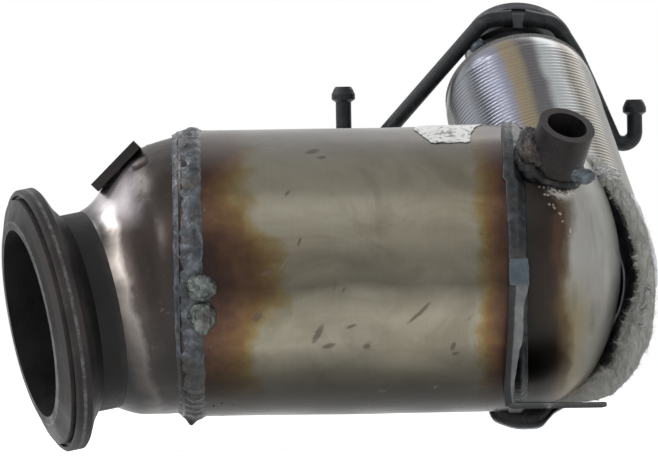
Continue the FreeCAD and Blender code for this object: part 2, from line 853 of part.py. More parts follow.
doc.recompute()
bad = [item.Name for item in doc.Objects if "Invalid" in item.State or "Error" in item.State]
if bad:
    raise RuntimeError(f"objects failed: {bad}")
for node in NODES:
    if node.Shape.isNull() or not node.Shape.isValid():
        raise RuntimeError(f"bad shape: {node.Label}")
os.makedirs("parts", exist_ok=True)
for node in NODES:
    node.Shape.exportStep(f"parts/{node.Label}.step")
    box = node.Shape.BoundBox
    print(node.Label, len(node.Shape.Solids), round(node.Shape.Volume), [round(v, 1) for v in (
        box.XMin, box.XMax, box.YMin, box.YMax, box.ZMin, box.ZMax)])
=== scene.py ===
import math

import bpy
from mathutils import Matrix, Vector, noise


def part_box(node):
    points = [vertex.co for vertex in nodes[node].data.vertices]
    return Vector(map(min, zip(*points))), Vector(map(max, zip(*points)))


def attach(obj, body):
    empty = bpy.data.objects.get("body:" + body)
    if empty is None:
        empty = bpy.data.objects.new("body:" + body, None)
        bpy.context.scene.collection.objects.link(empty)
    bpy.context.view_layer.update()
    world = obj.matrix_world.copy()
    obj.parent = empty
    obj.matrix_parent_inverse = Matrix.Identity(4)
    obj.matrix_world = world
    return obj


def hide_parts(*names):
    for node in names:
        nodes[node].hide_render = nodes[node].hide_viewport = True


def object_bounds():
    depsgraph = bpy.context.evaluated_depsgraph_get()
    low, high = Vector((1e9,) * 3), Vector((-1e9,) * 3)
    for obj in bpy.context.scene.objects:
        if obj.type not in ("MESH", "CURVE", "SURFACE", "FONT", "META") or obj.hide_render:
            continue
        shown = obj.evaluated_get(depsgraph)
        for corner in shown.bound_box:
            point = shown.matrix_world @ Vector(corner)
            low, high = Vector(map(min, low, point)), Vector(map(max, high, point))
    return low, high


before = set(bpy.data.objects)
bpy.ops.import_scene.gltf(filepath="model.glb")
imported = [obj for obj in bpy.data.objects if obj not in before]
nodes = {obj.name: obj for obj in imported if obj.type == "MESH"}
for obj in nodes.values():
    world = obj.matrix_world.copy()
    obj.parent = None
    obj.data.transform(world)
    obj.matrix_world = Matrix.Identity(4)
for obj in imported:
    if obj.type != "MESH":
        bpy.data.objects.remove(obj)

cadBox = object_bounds()
mm = 0.001  # shapes are worked out in millimetres, looks in metres


def lerp(a, b, t):
    return a + (b - a) * t


def smoothStep(low, high, value):
    t = min(1.0, max(0.0, (value - low) / (high - low)))
    return t * t * (3 - 2 * t)


def bump(value, centre, width):
    return math.exp(-((value - centre) / width) ** 2)


# fractal noise of about -1 to 1, with features of the given size
def ruffle(point, size, detail=3):
    return noise.fractal(Vector(point) / size, 0.6, 2.0, detail, noise_basis="PERLIN_ORIGINAL")


def boxOf(node):
    return [[v / mm for v in corner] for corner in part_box(node)]


# sizes that every piece shares, taken from the frame
canLow, canHigh = boxOf("can_shell")
canStart, canEnd = canLow[0], canHigh[0]
weldLow, weldHigh = boxOf("outlet_weld")
axisY = (weldLow[1] + weldHigh[1]) / 2
axisZ = (weldLow[2] + weldHigh[2]) / 2
canRadius = (canHigh[2] - canLow[2]) / 2
seatRadius = canRadius - 1.75  # what the cone and the dome slide into
domeStart = weldHigh[0]
sheetWall = 1.5

# the inlet leaves to the left, the outlet pipe up and back
inletLine = (0.9606, 0.2164, 0.1746)
inletAxis = Vector(inletLine).normalized()
pipeAxis = Vector((-0.193, 0.75, 0.632)).normalized()
pipeStart = Vector((226, axisY + 70, axisZ + 6.5))
print("sizes", canStart, canEnd, axisY, axisZ)


def meshPiece(name, verts, faces, material, replaced=(), smooth=True):
    mesh = bpy.data.meshes.new(name)
    mesh.from_pydata([Vector(v) * mm for v in verts], [], faces)
    mesh.validate()
    mesh.update()
    piece = bpy.data.objects.new(name, mesh)
    bpy.context.scene.collection.objects.link(piece)
    if smooth:
        mesh.polygons.foreach_set("use_smooth", [True] * len(mesh.polygons))
    mesh.materials.append(finish[material])
    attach(piece, "root")
    if replaced:
        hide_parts(*replaced)
    return piece


def storeValues(piece, label, values):
    layer = piece.data.attributes.new(label, "FLOAT", "POINT")
    layer.data.foreach_set("value", values)


def flipped(faces):
    return [tuple(reversed(face)) for face in faces]


def gridFaces(rows, columns, wrapRows=False, wrapColumns=True, offset=0):
    faces = []
    for r in range(rows if wrapRows else rows - 1):
        here, there = offset + r * columns, offset + ((r + 1) % rows) * columns
        for c in range(columns if wrapColumns else columns - 1):
            n = (c + 1) % columns
            faces.append((here + c, here + n, there + n, there + c))
    return faces


# outer and inner skin, stored one after the other, closed along their rims
def sheetFaces(rows, columns, wrapColumns=True):
    count = rows * columns
    last = count - columns
    faces = gridFaces(rows, columns, False, wrapColumns)
    faces += flipped(gridFaces(rows, columns, False, wrapColumns, count))
    for c in range(columns if wrapColumns else columns - 1):
        n = (c + 1) % columns
        faces.append((count + c, count + n, n, c))
        faces.append((last + c, last + n, count + last + n, count + last + c))
    if not wrapColumns:
        end = columns - 1
        for a in range(0, last, columns):
            b = a + columns
            faces.append((a, b, count + b, count + a))
            faces.append((b + end, a + end, count + a + end, count + b + end))
    return faces


# sideways and upward directions of the plane square to the axis
def planeOn(axis):
    along = Vector(axis).normalized()
    side = Vector((0, 0, 1)).cross(along).normalized()
    return side, along.cross(side)


def ring(centre, axis, radius, columns):
    side, top = planeOn(axis)
    turns = [2 * math.pi * c / columns for c in range(columns)]
    return [Vector(centre) + (side * math.cos(a) + top * math.sin(a)) * radius for a in turns]


# point beside the can's axis; the angle starts at the front and turns upwards
def roundCan(x, angle, radius):
    return (x, axisY - math.cos(angle) * radius, axisZ + math.sin(angle) * radius)


# smooth in-betweens of rows of numbers, through every row
def spline(rows, steps):
    padded = [rows[0]] + list(rows) + [rows[-1]]
    out = []
    for i in range(len(rows) - 1):
        for s in range(steps):
            t = s / steps
            out.append([
                0.5 * (2 * b + (c - a) * t + (2 * a - 5 * b + 4 * c - d) * t * t
                       + (3 * b - a - 3 * c + d) * t ** 3)
                for a, b, c, d in zip(*padded[i:i + 4])
            ])
    out.append(list(rows[-1]))
    return out


# adds a node to a tree; a socket is linked to the input, any other value is set on it
def adder(tree):
    def add(kind, inputs=None, **settings):
        node = tree.nodes.new(kind)
        for key, value in settings.items():
            setattr(node, key, value)
        for key, value in (inputs or {}).items():
            if isinstance(value, bpy.types.NodeSocket):
                tree.links.new(value, node.inputs[key])
            else:
                node.inputs[key].default_value = value
        return node
    return add


def newMaterial(name):
    material = bpy.data.materials.new(name)
    material.use_nodes = True
    material.node_tree.nodes.clear()
    add = adder(material.node_tree)
    return material, add, add("ShaderNodeTexCoord").outputs["Object"]


def rgb(r, g, b):
    return (r, g, b, 1)


def grey(v):
    return (v, v, v)


def ramp(add, value, stops):
    node = add("ShaderNodeValToRGB", {"Fac": value})
    while len(node.color_ramp.elements) < len(stops):
        node.color_ramp.elements.new(0.5)
    for element, (position, colour) in zip(node.color_ramp.elements, stops):
        element.position = position
        element.color = (*colour, 1)
    return node.outputs[0]


def maths(add, operation, a, b=0.0, clamp=False):
    return add("ShaderNodeMath", {0: a, 1: b}, operation=operation, use_clamp=clamp).outputs[0]


def plus(add, a, b):
    return maths(add, "ADD", a, b)


def minus(add, a, b):
    return maths(add, "SUBTRACT", a, b)


def times(add, a, b):
    return maths(add, "MULTIPLY", a, b)


# how far a value is from a centre, either way
def awayFrom(add, value, centre):
    return maths(add, "ABSOLUTE", minus(add, value, centre))


# noise made into a shift either way
def drift(add, value, most):
    return times(add, minus(add, value, 0.5), most)


def rangeOf(add, value, low, high, toLow=0.0, toHigh=1.0):
    return add("ShaderNodeMapRange", {0: value, 1: low, 2: high, 3: toLow, 4: toHigh},
               interpolation_type="SMOOTHSTEP").outputs[0]


def vectorMaths(add, operation, inputs, output=0):
    return add("ShaderNodeVectorMath", inputs, operation=operation).outputs[output]


def axisOf(add, place, axis):
    return add("ShaderNodeSeparateXYZ", {0: place}).outputs[axis]


def inMillimetres(add, place):
    return vectorMaths(add, "SCALE", {0: place, "Scale": 1 / mm})


def stretched(add, place, scale):
    return add("ShaderNodeMapping", {"Vector": place, "Scale": scale}).outputs[0]


def turnedFlat(add, place, angle):
    return add("ShaderNodeVectorRotate", {"Vector": place, "Axis": (0, 1, 0), "Angle": angle}).outputs[0]


def noiseOf(add, place, scale, detail=4, rough=0.55, distortion=0.0):
    return add("ShaderNodeTexNoise", {"Vector": place, "Scale": scale, "Detail": detail,
                                      "Roughness": rough, "Distortion": distortion}).outputs[0]


def attributeOf(add, label):
    return add("ShaderNodeAttribute", attribute_name=label).outputs["Fac"]


def mixed(add, share, a, b, blend="MIX"):
    return add("ShaderNodeMix", {0: share, 6: a, 7: b}, data_type="RGBA", blend_type=blend).outputs[2]


# lays a tone over the colour where the mask is, at the given strength
def overlaid(add, colour, mask, strength, tone):
    return mixed(add, times(add, mask, strength), colour, tone)


# dims the colour by a tone where the mask is
def dimmed(add, colour, mask, tone):
    return mixed(add, mask, colour, mixed(add, 1.0, colour, tone, "MULTIPLY"))


def relief(add, height, strength, depth):
    return add("ShaderNodeBump", {"Height": height, "Strength": strength, "Distance": depth}).outputs[0]


def surface(add, **inputs):
    named = {key.replace("_", " "): value for key, value in inputs.items()}
    add("ShaderNodeOutputMaterial", {"Surface": add("ShaderNodeBsdfPrincipled", named).outputs[0]})


def shaderGroup(name, inputs, outputs):
    tree = bpy.data.node_groups.new(name, "ShaderNodeTree")
    for label, kind, default in inputs:
        socket = tree.interface.new_socket(label, in_out="INPUT", socket_type=kind)
        if default is not None:
            socket.default_value = default
    for label, kind in outputs:
        tree.interface.new_socket(label, in_out="OUTPUT", socket_type=kind)
    given, out = tree.nodes.new("NodeGroupInput").outputs, tree.nodes.new("NodeGroupOutput").inputs
    return tree, adder(tree), given, out


# dark heat scale with rust patches and fine light scratches
def makeScaleGroup():
    tree, add, given, out = shaderGroup("heatScale", [
        ("Place", "NodeSocketVector", None), ("Rust", "NodeSocketFloat", 0.4),
        ("Seed", "NodeSocketFloat", 0.0),
    ], [("Colour", "NodeSocketColor"), ("Roughness", "NodeSocketFloat"), ("Normal", "NodeSocketVector")])
    place = vectorMaths(add, "ADD", {0: given["Place"], 1: given["Seed"]})
    broad = noiseOf(add, place, 55, 5, 0.6)
    fine = noiseOf(add, place, 420, 4, 0.7)
    base = ramp(add, broad, [(0.3, (0.013, 0.013, 0.014)), (0.52, (0.028, 0.025, 0.025)),
                             (0.7, (0.05, 0.044, 0.042))])
    rusty = mixed(add, fine, rgb(0.03, 0.015, 0.01), rgb(0.085, 0.05, 0.033))
    patches = rangeOf(add, noiseOf(add, place, 130, 6, 0.7, 0.3), 0.52, 0.7)
    rust = maths(add, "MULTIPLY", patches, given["Rust"], True)
    colour = mixed(add, rust, base, rusty)
    scratch = rangeOf(add, noiseOf(add, stretched(add, place, (1.0, 0.14, 1.0)), 900, 2, 0.5), 0.68, 0.74)
    results = {
        "Colour": overlaid(add, colour, scratch, 0.4, rgb(0.12, 0.11, 0.105)),
        "Roughness": rangeOf(add, broad, 0.25, 0.75, 0.38, 0.66),
        "Normal": relief(add, plus(add, fine, times(add, rust, 0.5)), 0.28, 0.0006),
    }
    for label, value in results.items():
        tree.links.new(value, out[label])
    return tree


# one short scuff on the front: 1 inside a thin ragged stroke, 0 outside
def makeMarkGroup():
    tree, add, given, out = shaderGroup("scuffMark", [
        ("Place", "NodeSocketVector", None), ("Centre", "NodeSocketVector", None),
        ("Angle", "NodeSocketFloat", 0.0), ("Length", "NodeSocketFloat", 3.0),
        ("Width", "NodeSocketFloat", 0.5),
    ], [("Mask", "NodeSocketFloat")])
    away = vectorMaths(add, "SUBTRACT", {0: given["Place"], 1: given["Centre"]})
    turned = turnedFlat(add, away, given["Angle"])
    ragged = times(add, noiseOf(add, given["Place"], 1.1, 5, 0.7), 1.9)
    squares = []
    for axis, half in (("Z", "Width"), ("X", "Length")):
        share = maths(add, "DIVIDE", axisOf(add, turned, axis), given[half])
        squares.append(maths(add, "POWER", maths(add, "ABSOLUTE", share), 2.0))
    stroke = rangeOf(add, plus(add, plus(add, *squares), ragged), 1.1, 2.0, 1.0, 0.0)
    front = maths(add, "LESS_THAN", axisOf(add, turned, "Y"), 25.0)
    tree.links.new(times(add, stroke, front), out["Mask"])
    return tree


scaleGroup = makeScaleGroup()
markGroup = makeMarkGroup()
print("helpers and shared effects ready")

flangeFinish = {
    "rust": 0.25, "seed": 0.0,
    # thin lighter rings at the edges: distance along the inlet, radius, half width, in mm
    "edges": [(0.2, 42.6, 0.5), (8.3, 54.4, 0.9), (8.3, 51.6, 0.45), (15.2, 54.6, 0.6)],
}


def scaledSteel(name, rust, seed, edges=()):
    material, add, place = newMaterial(name)
    scale = add("ShaderNodeGroup", {"Place": place, "Rust": rust, "Seed": seed}, node_tree=scaleGroup)
    scale = scale.outputs
    colour = scale["Colour"]
    if edges:
        inMm = inMillimetres(add, place)
        along = vectorMaths(add, "DOT_PRODUCT", {0: inMm, 1: inletLine}, "Value")
        length = vectorMaths(add, "LENGTH", {0: inMm}, "Value")
        square = minus(add, times(add, length, length), times(add, along, along))
        radius = maths(add, "SQRT", maths(add, "MAXIMUM", square, 0.0))
        # painted shade: the inside of the bore is darker
        paintedBoreShade = times(add, rangeOf(add, radius, 47.5, 45.5), rangeOf(add, along, 31.0, 26.0))
        colour = overlaid(add, colour, paintedBoreShade, 0.75, rgb(0.012, 0.013, 0.013))
        # thin lighter rings along the edges, broken up by noise
        ringMottle = rangeOf(add, noiseOf(add, place, 260, 4, 0.7), 0.4, 0.6, 0.25, 0.9)
        for ringAlong, ringRadius, half in edges:
            near = maths(add, "MAXIMUM", awayFrom(add, along, ringAlong), awayFrom(add, radius, ringRadius))
            lightRing = times(add, rangeOf(add, near, half, half * 0.5), ringMottle)
            colour = mixed(add, lightRing, colour, rgb(0.14, 0.144, 0.15))
    surface(add, Base_Color=colour, Roughness=scale["Roughness"], Metallic=0.55,
            Specular_IOR_Level=0.2, Normal=scale["Normal"])
    return material


canFinish = {
    "left": canStart * mm, "right": canEnd * mm,
    "leftReach": 0.034, "rightReach": 0.018, "tongue": 0.012,  # how far heat has tinted the sheet, in m
    # from the weld outwards
    "tints": [(0.0, (0.04, 0.028, 0.027)), (0.22, (0.068, 0.034, 0.024)), (0.42, (0.112, 0.06, 0.034)),
              (0.62, (0.165, 0.1, 0.042)), (0.82, (0.225, 0.175, 0.085)), (1.0, (0.268, 0.25, 0.195))],
    # painted light and shade: light and dark bands that stand for reflections, from the bottom of the can
    # to its top
    "bands": [(0.0, grey(0.08)), (0.06, grey(0.3)), (0.15, grey(0.95)), (0.27, grey(0.95)),
              (0.44, grey(0.34)), (0.57, grey(0.5)), (0.68, grey(0.76)), (0.79, grey(0.74)),
              (0.89, grey(0.68)), (1.0, grey(0.66))],
    "bandsFrom": -0.04, "bandsTo": 0.078,
    # scuffs: x, z, angle in degrees, half length, half width, in mm
    "marks": [
        (94.3, 1.5, 35, 3.0, 2.0), (98.5, 19.5, 20, 2.6, 1.1), (119, -6, 60, 5.2, 1.6),
        (123.5, -11, 15, 3.4, 1.3), (126.5, 14, 75, 2.6, 1.0), (130, 12, 60, 1.8, 0.8),
        (139, -11.5, 10, 2.0, 1.4), (152.5, -25, 30, 2.2, 1.0), (160.5, 1.5, 40, 7.0, 0.9),
        (174.5, -12, 65, 2.4, 1.2), (175.5, -15, 10, 2.0, 0.9), (118, 69, 10, 3.6, 1.2),
        (122, 66.5, 0, 2.2, 0.9), (112, 32, 65, 2.2, 0.7), (107.5, 52, 50, 2.0, 0.7),
        (163, 4, 42, 4.0, 0.8), (133, -3, 20, 2.6, 0.8), (145, -30, 0, 2.4, 0.8),
    ],
}


# stainless sheet, tinted by heat next to the welds at its left and right ends, with painted light and shade
# in bands along it
def canSteel(name, left, right, leftReach, rightReach, tongue, tints, bands, bandsFrom, bandsTo, marks):
    material, add, place = newMaterial(name)
    x, z = axisOf(add, place, "X"), axisOf(add, place, "Z")
    wander = noiseOf(add, place, 38, 5, 0.6, 0.3)
    fine = noiseOf(add, stretched(add, place, (0.6, 1.0, 1.0)), 160, 5, 0.65)
    cloud = noiseOf(add, place, 26, 4, 0.5)
    shift = plus(add, drift(add, wander, 0.034), drift(add, fine, 0.012))
    bulge = times(add, times(add, rangeOf(add, z, -0.012, 0.006), rangeOf(add, z, 0.044, 0.026)), tongue)
    fromLeft = minus(add, plus(add, minus(add, x, left), shift), bulge)
    fromRight = plus(add, minus(add, right, x), times(add, shift, 0.5))
    leftTint = ramp(add, maths(add, "DIVIDE", fromLeft, leftReach, True), tints)
    rightTint = ramp(add, maths(add, "DIVIDE", fromRight, rightReach, True), tints)
    colour = mixed(add, 1.0, leftTint, rightTint, "DARKEN")

    # clouds, grain, dirt and smoke
    colour = dimmed(add, colour, rangeOf(add, cloud, 0.35, 0.7, 0.0, 0.5), rgb(0.86, 0.82, 0.74))
    grain = noiseOf(add, stretched(add, place, (1.0, 0.05, 0.05)), 900, 2, 0.6)
    colour = mixed(add, rangeOf(add, grain, 0.35, 0.7, 0.0, 0.06), colour, rgb(0.12, 0.10, 0.085))
    dirt = rangeOf(add, noiseOf(add, place, 320, 6, 0.75), 0.62, 0.78)
    colour = overlaid(add, colour, dirt, 0.5, rgb(0.1, 0.08, 0.065))
    smoke = noiseOf(add, stretched(add, place, (1.0, 0.5, 1.6)), 24, 6, 0.65, 0.8)
    colour = dimmed(add, colour, rangeOf(add, smoke, 0.38, 0.66, 0.0, 0.55), rgb(0.52, 0.5, 0.47))

    # painted light and shade: bands along the can, and a paler crown that stands for a reflection on its
    # top
    wavyZ = plus(add, z, drift(add, cloud, 0.012))
    colour = mixed(add, 1.0, colour, ramp(add, rangeOf(add, wavyZ, bandsFrom, bandsTo), bands), "MULTIPLY")
    colour = overlaid(add, colour, rangeOf(add, z, 0.058, 0.076), 0.5, rgb(0.15, 0.145, 0.155))

    # slanting hairlines in a few places, then the scuffs
    slant = stretched(add, turnedFlat(add, place, 0.9), (0.07, 1.0, 1.0))
    hairline = rangeOf(add, noiseOf(add, slant, 420, 3, 0.5), 0.66, 0.72)
    hairline = times(add, hairline, rangeOf(add, noiseOf(add, place, 30, 2), 0.5, 0.62))
    colour = overlaid(add, colour, hairline, 0.5, rgb(0.13, 0.11, 0.09))
    inMm, scuffs = inMillimetres(add, place), 0.0
    for markX, markZ, angle, length, width in marks:
        mark = add("ShaderNodeGroup", {
            "Place": inMm, "Centre": (markX, 0, markZ), "Angle": math.radians(angle),
            "Length": length, "Width": width}, node_tree=markGroup)
        scuffs = maths(add, "MAXIMUM", scuffs, mark.outputs["Mask"])
    colour = overlaid(add, colour, scuffs, 0.75, rgb(0.07, 0.055, 0.045))
    height = plus(add, times(add, wander, 0.6), times(add, grain, 0.04))
    surface(add, Base_Color=colour, Metallic=0.85, Roughness=rangeOf(add, cloud, 0.3, 0.7, 0.24, 0.34),
            Normal=relief(add, height, 0.12, 0.002))
    return material


# lumpy weld that turns a darker brown-grey below the height given, in m
def weldMetal(name, tint, dullBelow=-0.2):
    material, add, place = newMaterial(name)
    lumps = noiseOf(add, place, 190, 5, 0.6, 0.4)
    fine = noiseOf(add, place, 700, 4, 0.7)
    colour = ramp(add, lumps, [(0.25, (0.018, 0.018, 0.02)), (0.45, [0.5 * t for t in tint]),
                               (0.6, tint), (0.78, [2.1 * t for t in tint])])
    stain = rangeOf(add, noiseOf(add, place, 75, 4, 0.6), 0.5, 0.72)
    colour = overlaid(add, colour, stain, 0.6, rgb(0.07, 0.055, 0.045))
    height = plus(add, axisOf(add, place, "Z"), times(add, lumps, 0.01))
    low = rangeOf(add, height, dullBelow + 0.006, dullBelow - 0.004)
    colour = overlaid(add, colour, low, 0.75, rgb(0.035, 0.032, 0.028))
    surface(add, Base_Color=colour, Metallic=0.65, Roughness=rangeOf(add, fine, 0.3, 0.7, 0.3, 0.55),
            Normal=relief(add, plus(add, lumps, times(add, fine, 0.3)), 0.6, 0.0012))
    return material


# pressed cone: dark violet-grey heat scale, with a lighter streak down its shoulder that is a painted
# highlight
coneFinish = {
    "streakFrom": 0.026, "streakTo": 0.064,
    # heat scale tones; the pale stops in the middle are the painted highlight streak
    "tones": [(0.0, (0.03, 0.03, 0.031)), (0.2, (0.05, 0.047, 0.046)), (0.34, (0.24, 0.21, 0.19)),
              (0.46, (0.4, 0.36, 0.33)), (0.58, (0.1, 0.08, 0.072)), (0.86, (0.035, 0.025, 0.022)),
              (1.0, (0.025, 0.018, 0.016))],
}


def coneSteel(name, streakFrom, streakTo, tones):
    material, add, place = newMaterial(name)
    x, z = axisOf(add, place, "X"), axisOf(add, place, "Z")
    cloud = noiseOf(add, place, 40, 5, 0.6, 0.3)
    fine = noiseOf(add, place, 330, 5, 0.7)
    along = plus(add, x, plus(add, drift(add, cloud, 0.014), times(add, z, 0.2)))
    colour = ramp(add, rangeOf(add, along, streakFrom, streakTo), tones)
    # darker towards the bottom
    colour = overlaid(add, colour, rangeOf(add, z, 0.034, -0.024), 0.8, rgb(0.02, 0.02, 0.02))
    # a pale pinkish painted highlight on the upper shoulder, along the middle of the streak
    paintedHighlight = rangeOf(add, awayFrom(add, along, 0.0455), 0.014, 0.004)
    paintedHighlight = times(add, paintedHighlight, rangeOf(add, z, 0.036, 0.05))
    colour = overlaid(add, colour, paintedHighlight, 0.6, rgb(0.75, 0.7, 0.74))
    colour = overlaid(add, colour, rangeOf(add, fine, 0.62, 0.72), 0.35, rgb(0.2, 0.17, 0.15))
    surface(add, Base_Color=colour, Metallic=0.7, Roughness=rangeOf(add, cloud, 0.3, 0.7, 0.3, 0.45),
            Normal=relief(add, plus(add, cloud, times(add, fine, 0.25)), 0.18, 0.0012))
    return material


# dished end: red-brown by the weld, olive-beige streaks below, crusted below the boss; the lighter upper
# tones with a pale crown and the darker under tones are painted light and shade over the heat tint
domeFinish = {
    "tonesFrom": 0.204, "tonesTo": 0.245,
    # upper and under hold the same heat tint, lit and shaded: painted light and painted shade
    "upper": [(0.0, (0.013, 0.011, 0.009)), (0.16, (0.023, 0.015, 0.012)), (0.3, (0.063, 0.036, 0.023)),
              (0.42, (0.126, 0.109, 0.084)), (0.56, (0.311, 0.307, 0.29)), (1.0, (0.277, 0.277, 0.26))],
    "under": [(0.0, (0.01, 0.009, 0.008)), (0.2, (0.025, 0.018, 0.013)), (0.36, (0.08, 0.055, 0.025)),
              (0.5, (0.17, 0.145, 0.09)), (0.7, (0.15, 0.14, 0.11)), (1.0, (0.08, 0.077, 0.07))],
    "crustAt": (221.5, -32.0, 56.5), "crustRadius": 14.5,  # in mm
}


def domeSteel(name, tonesFrom, tonesTo, upper, under, crustAt, crustRadius):
    material, add, place = newMaterial(name)
    x, z = axisOf(add, place, "X"), axisOf(add, place, "Z")
    cloud = noiseOf(add, place, 42, 5, 0.55, 0.2)
    fine = noiseOf(add, place, 300, 5, 0.7)
    streak = noiseOf(add, stretched(add, place, (1.0, 0.4, 0.16)), 150, 4, 0.6)
    along = plus(add, x, plus(add, drift(add, cloud, 0.012), drift(add, streak, 0.012)))
    along = rangeOf(add, along, tonesFrom, tonesTo)
    # painted light and shade: the upper tones above, the darker under tones below
    colour = mixed(add, rangeOf(add, z, 0.028, -0.002), ramp(add, along, upper), ramp(add, along, under))
    colour = dimmed(add, colour, rangeOf(add, streak, 0.5, 0.72, 0.0, 0.4), rgb(0.55, 0.5, 0.42))

    away = vectorMaths(add, "DISTANCE", {0: inMillimetres(add, place), 1: crustAt}, "Value")
    crust = rangeOf(add, plus(add, away, times(add, fine, 7.0)), crustRadius, crustRadius - 4.5)
    crust = times(add, crust, rangeOf(add, fine, 0.42, 0.58))
    colour = mixed(add, crust, colour, rgb(0.62, 0.6, 0.58))

    # a dotted line of spatter, slanting across the upper part
    spot = add("ShaderNodeTexVoronoi", {"Vector": place, "Scale": 420.0}).outputs["Distance"]
    gap = maths(add, "ABSOLUTE", minus(add, minus(add, x, 0.2445), times(add, z, -0.62)))
    line = times(add, rangeOf(add, gap, 0.0024, 0.0008), rangeOf(add, spot, 0.34, 0.2))
    line = times(add, line, rangeOf(add, z, 0.028, 0.034))
    colour = overlaid(add, colour, line, 0.7, rgb(0.4, 0.35, 0.27))
    height = plus(add, times(add, cloud, 0.6), times(add, crust, 0.8))
    surface(add, Base_Color=colour, Metallic=0.75, Roughness=rangeOf(add, cloud, 0.3, 0.7, 0.32, 0.46),
            Normal=relief(add, height, 0.25, 0.0015))
    return material


# bright foil with painted reflections: light and dark streaks lengthways; the attribute around gives the
# place round the pipe, 0 to 1
foilFinish = {
    "streakShift": 0.029,
    # light and dark streaks round the pipe that stand for reflections: painted reflections
    "streaks": [
        (0.0, grey(0.1)), (0.105, (0.21, 0.22, 0.25)), (0.135, (0.08, 0.085, 0.1)),
        (0.158, (0.18, 0.19, 0.24)), (0.198, (0.19, 0.195, 0.25)), (0.212, (0.23, 0.185, 0.11)),
        (0.235, (0.2, 0.165, 0.11)),
        (0.25, (0.085, 0.08, 0.083)), (0.272, (0.1, 0.095, 0.1)), (0.288, (0.37, 0.385, 0.39)),
        (0.322, (0.37, 0.385, 0.39)), (0.345, (0.15, 0.135, 0.11)), (0.38, (0.25, 0.235, 0.205)),
        (0.43, (0.3, 0.295, 0.28)), (0.5, grey(0.25)), (1.0, grey(0.125)),
    ],
}


def foilSteel(name, streakShift, streaks):
    material, add, place = newMaterial(name)
    cloud = noiseOf(add, place, 45, 4, 0.6)
    colour = ramp(add, cloud, [(0.3, (0.21, 0.215, 0.23)), (0.5, grey(0.3)), (0.72, (0.34, 0.33, 0.3))])
    around = plus(add, plus(add, attributeOf(add, "around"), streakShift), drift(add, cloud, 0.03))
    colour = mixed(add, 0.9, colour, ramp(add, around, streaks))
    height = plus(add, noiseOf(add, place, 1300, 3, 0.6), times(add, cloud, 2.0))
    surface(add, Base_Color=colour, Metallic=0.9, Roughness=0.28, Normal=relief(add, height, 0.12, 0.0004))
    return material


def brightSteel(name, tone=(0.42, 0.42, 0.42), metallic=0.8, crumple=0.08):
    material, add, place = newMaterial(name)
    cloud = noiseOf(add, place, 120, 4, 0.6)
    crease = noiseOf(add, place, 95, 6, 0.65, 0.9)
    fine = noiseOf(add, place, 900, 3, 0.6)
    surface(add, Base_Color=ramp(add, cloud, [(0.3, [0.6 * t for t in tone]), (0.7, tone)]),
            Metallic=metallic, Roughness=rangeOf(add, cloud, 0.3, 0.7, 0.3, 0.45),
            Normal=relief(add, plus(add, crease, times(add, fine, 0.12)), crumple, 0.002))
    return material


def feltFibre(name, dark=(0.3, 0.3, 0.28), middle=(0.72, 0.72, 0.68), light=(0.95, 0.95, 0.92)):
    material, add, place = newMaterial(name)
    tuft = noiseOf(add, stretched(add, place, (1.0, 1.0, 0.35)), 420, 6, 0.75, 1.2)
    even = rangeOf(add, noiseOf(add, place, 80, 4, 0.6), 0.5, 0.75, 0.0, 0.6)
    colour = mixed(add, even, ramp(add, tuft, [(0.28, dark), (0.5, middle), (0.7, light)]), rgb(*middle))
    surface(add, Base_Color=colour, Roughness=0.85, Normal=relief(add, tuft, 0.9, 0.0015), Sheen_Weight=0.2)
    return material


def blackSteel(name):
    material, add, place = newMaterial(name)
    cloud = noiseOf(add, place, 260, 5, 0.7)
    colour = ramp(add, cloud, [(0.3, (0.011, 0.012, 0.013)), (0.6, (0.028, 0.03, 0.033)),
                               (0.8, (0.09, 0.093, 0.096))])
    surface(add, Base_Color=colour, Metallic=0.4, Roughness=rangeOf(add, cloud, 0.3, 0.7, 0.35, 0.55),
            Specular_IOR_Level=0.25, Normal=relief(add, cloud, 0.15, 0.0005))
    return material


# dark strap whose sheared edge, marked by the attribute pale, is bluish white
def strapSteel(name):
    material, add, place = newMaterial(name)
    cloud = noiseOf(add, place, 130, 5, 0.65)
    dark = ramp(add, cloud, [(0.3, grey(0.006)), (0.6, grey(0.015)), (0.68, grey(0.15)),
                             (0.75, grey(0.25))])
    torn = ramp(add, cloud, [(0.3, (0.065, 0.075, 0.085)), (0.5, (0.13, 0.14, 0.14)),
                             (0.7, (0.21, 0.215, 0.21))])
    block = ramp(add, cloud, [(0.3, (0.03, 0.045, 0.06)), (0.7, (0.09, 0.114, 0.132))])
    torn = mixed(add, rangeOf(add, axisOf(add, place, "Z"), 0.0105, 0.0145), torn, block)
    surface(add, Base_Color=mixed(add, attributeOf(add, "pale"), dark, torn), Metallic=0.35, Roughness=0.5,
            Normal=relief(add, cloud, 0.3, 0.0008))
    return material


def labelPaper(name):
    material, add, place = newMaterial(name)
    scuff = rangeOf(add, noiseOf(add, place, 300, 6, 0.7, 0.8), 0.5, 0.6)
    colour = overlaid(add, rgb(0.82, 0.83, 0.82), scuff, 0.85, rgb(0.2, 0.19, 0.18))
    surface(add, Base_Color=colour, Roughness=0.6)
    return material


# square cells, open along the can; the cells are painted near black for the shade inside the open channels
def brickCeramic(name, cellsPerMetre=400.0):
    material, add, place = newMaterial(name)
    walls = [maths(add, "PINGPONG", times(add, axisOf(add, place, axis), 2 * cellsPerMetre), 1.0)
             for axis in "YZ"]
    colour = mixed(add, rangeOf(add, maths(add, "MINIMUM", *walls), 0.15, 0.3),
                   rgb(0.1, 0.085, 0.07), rgb(0.01, 0.01, 0.01))
    surface(add, Base_Color=colour, Roughness=0.9)
    return material


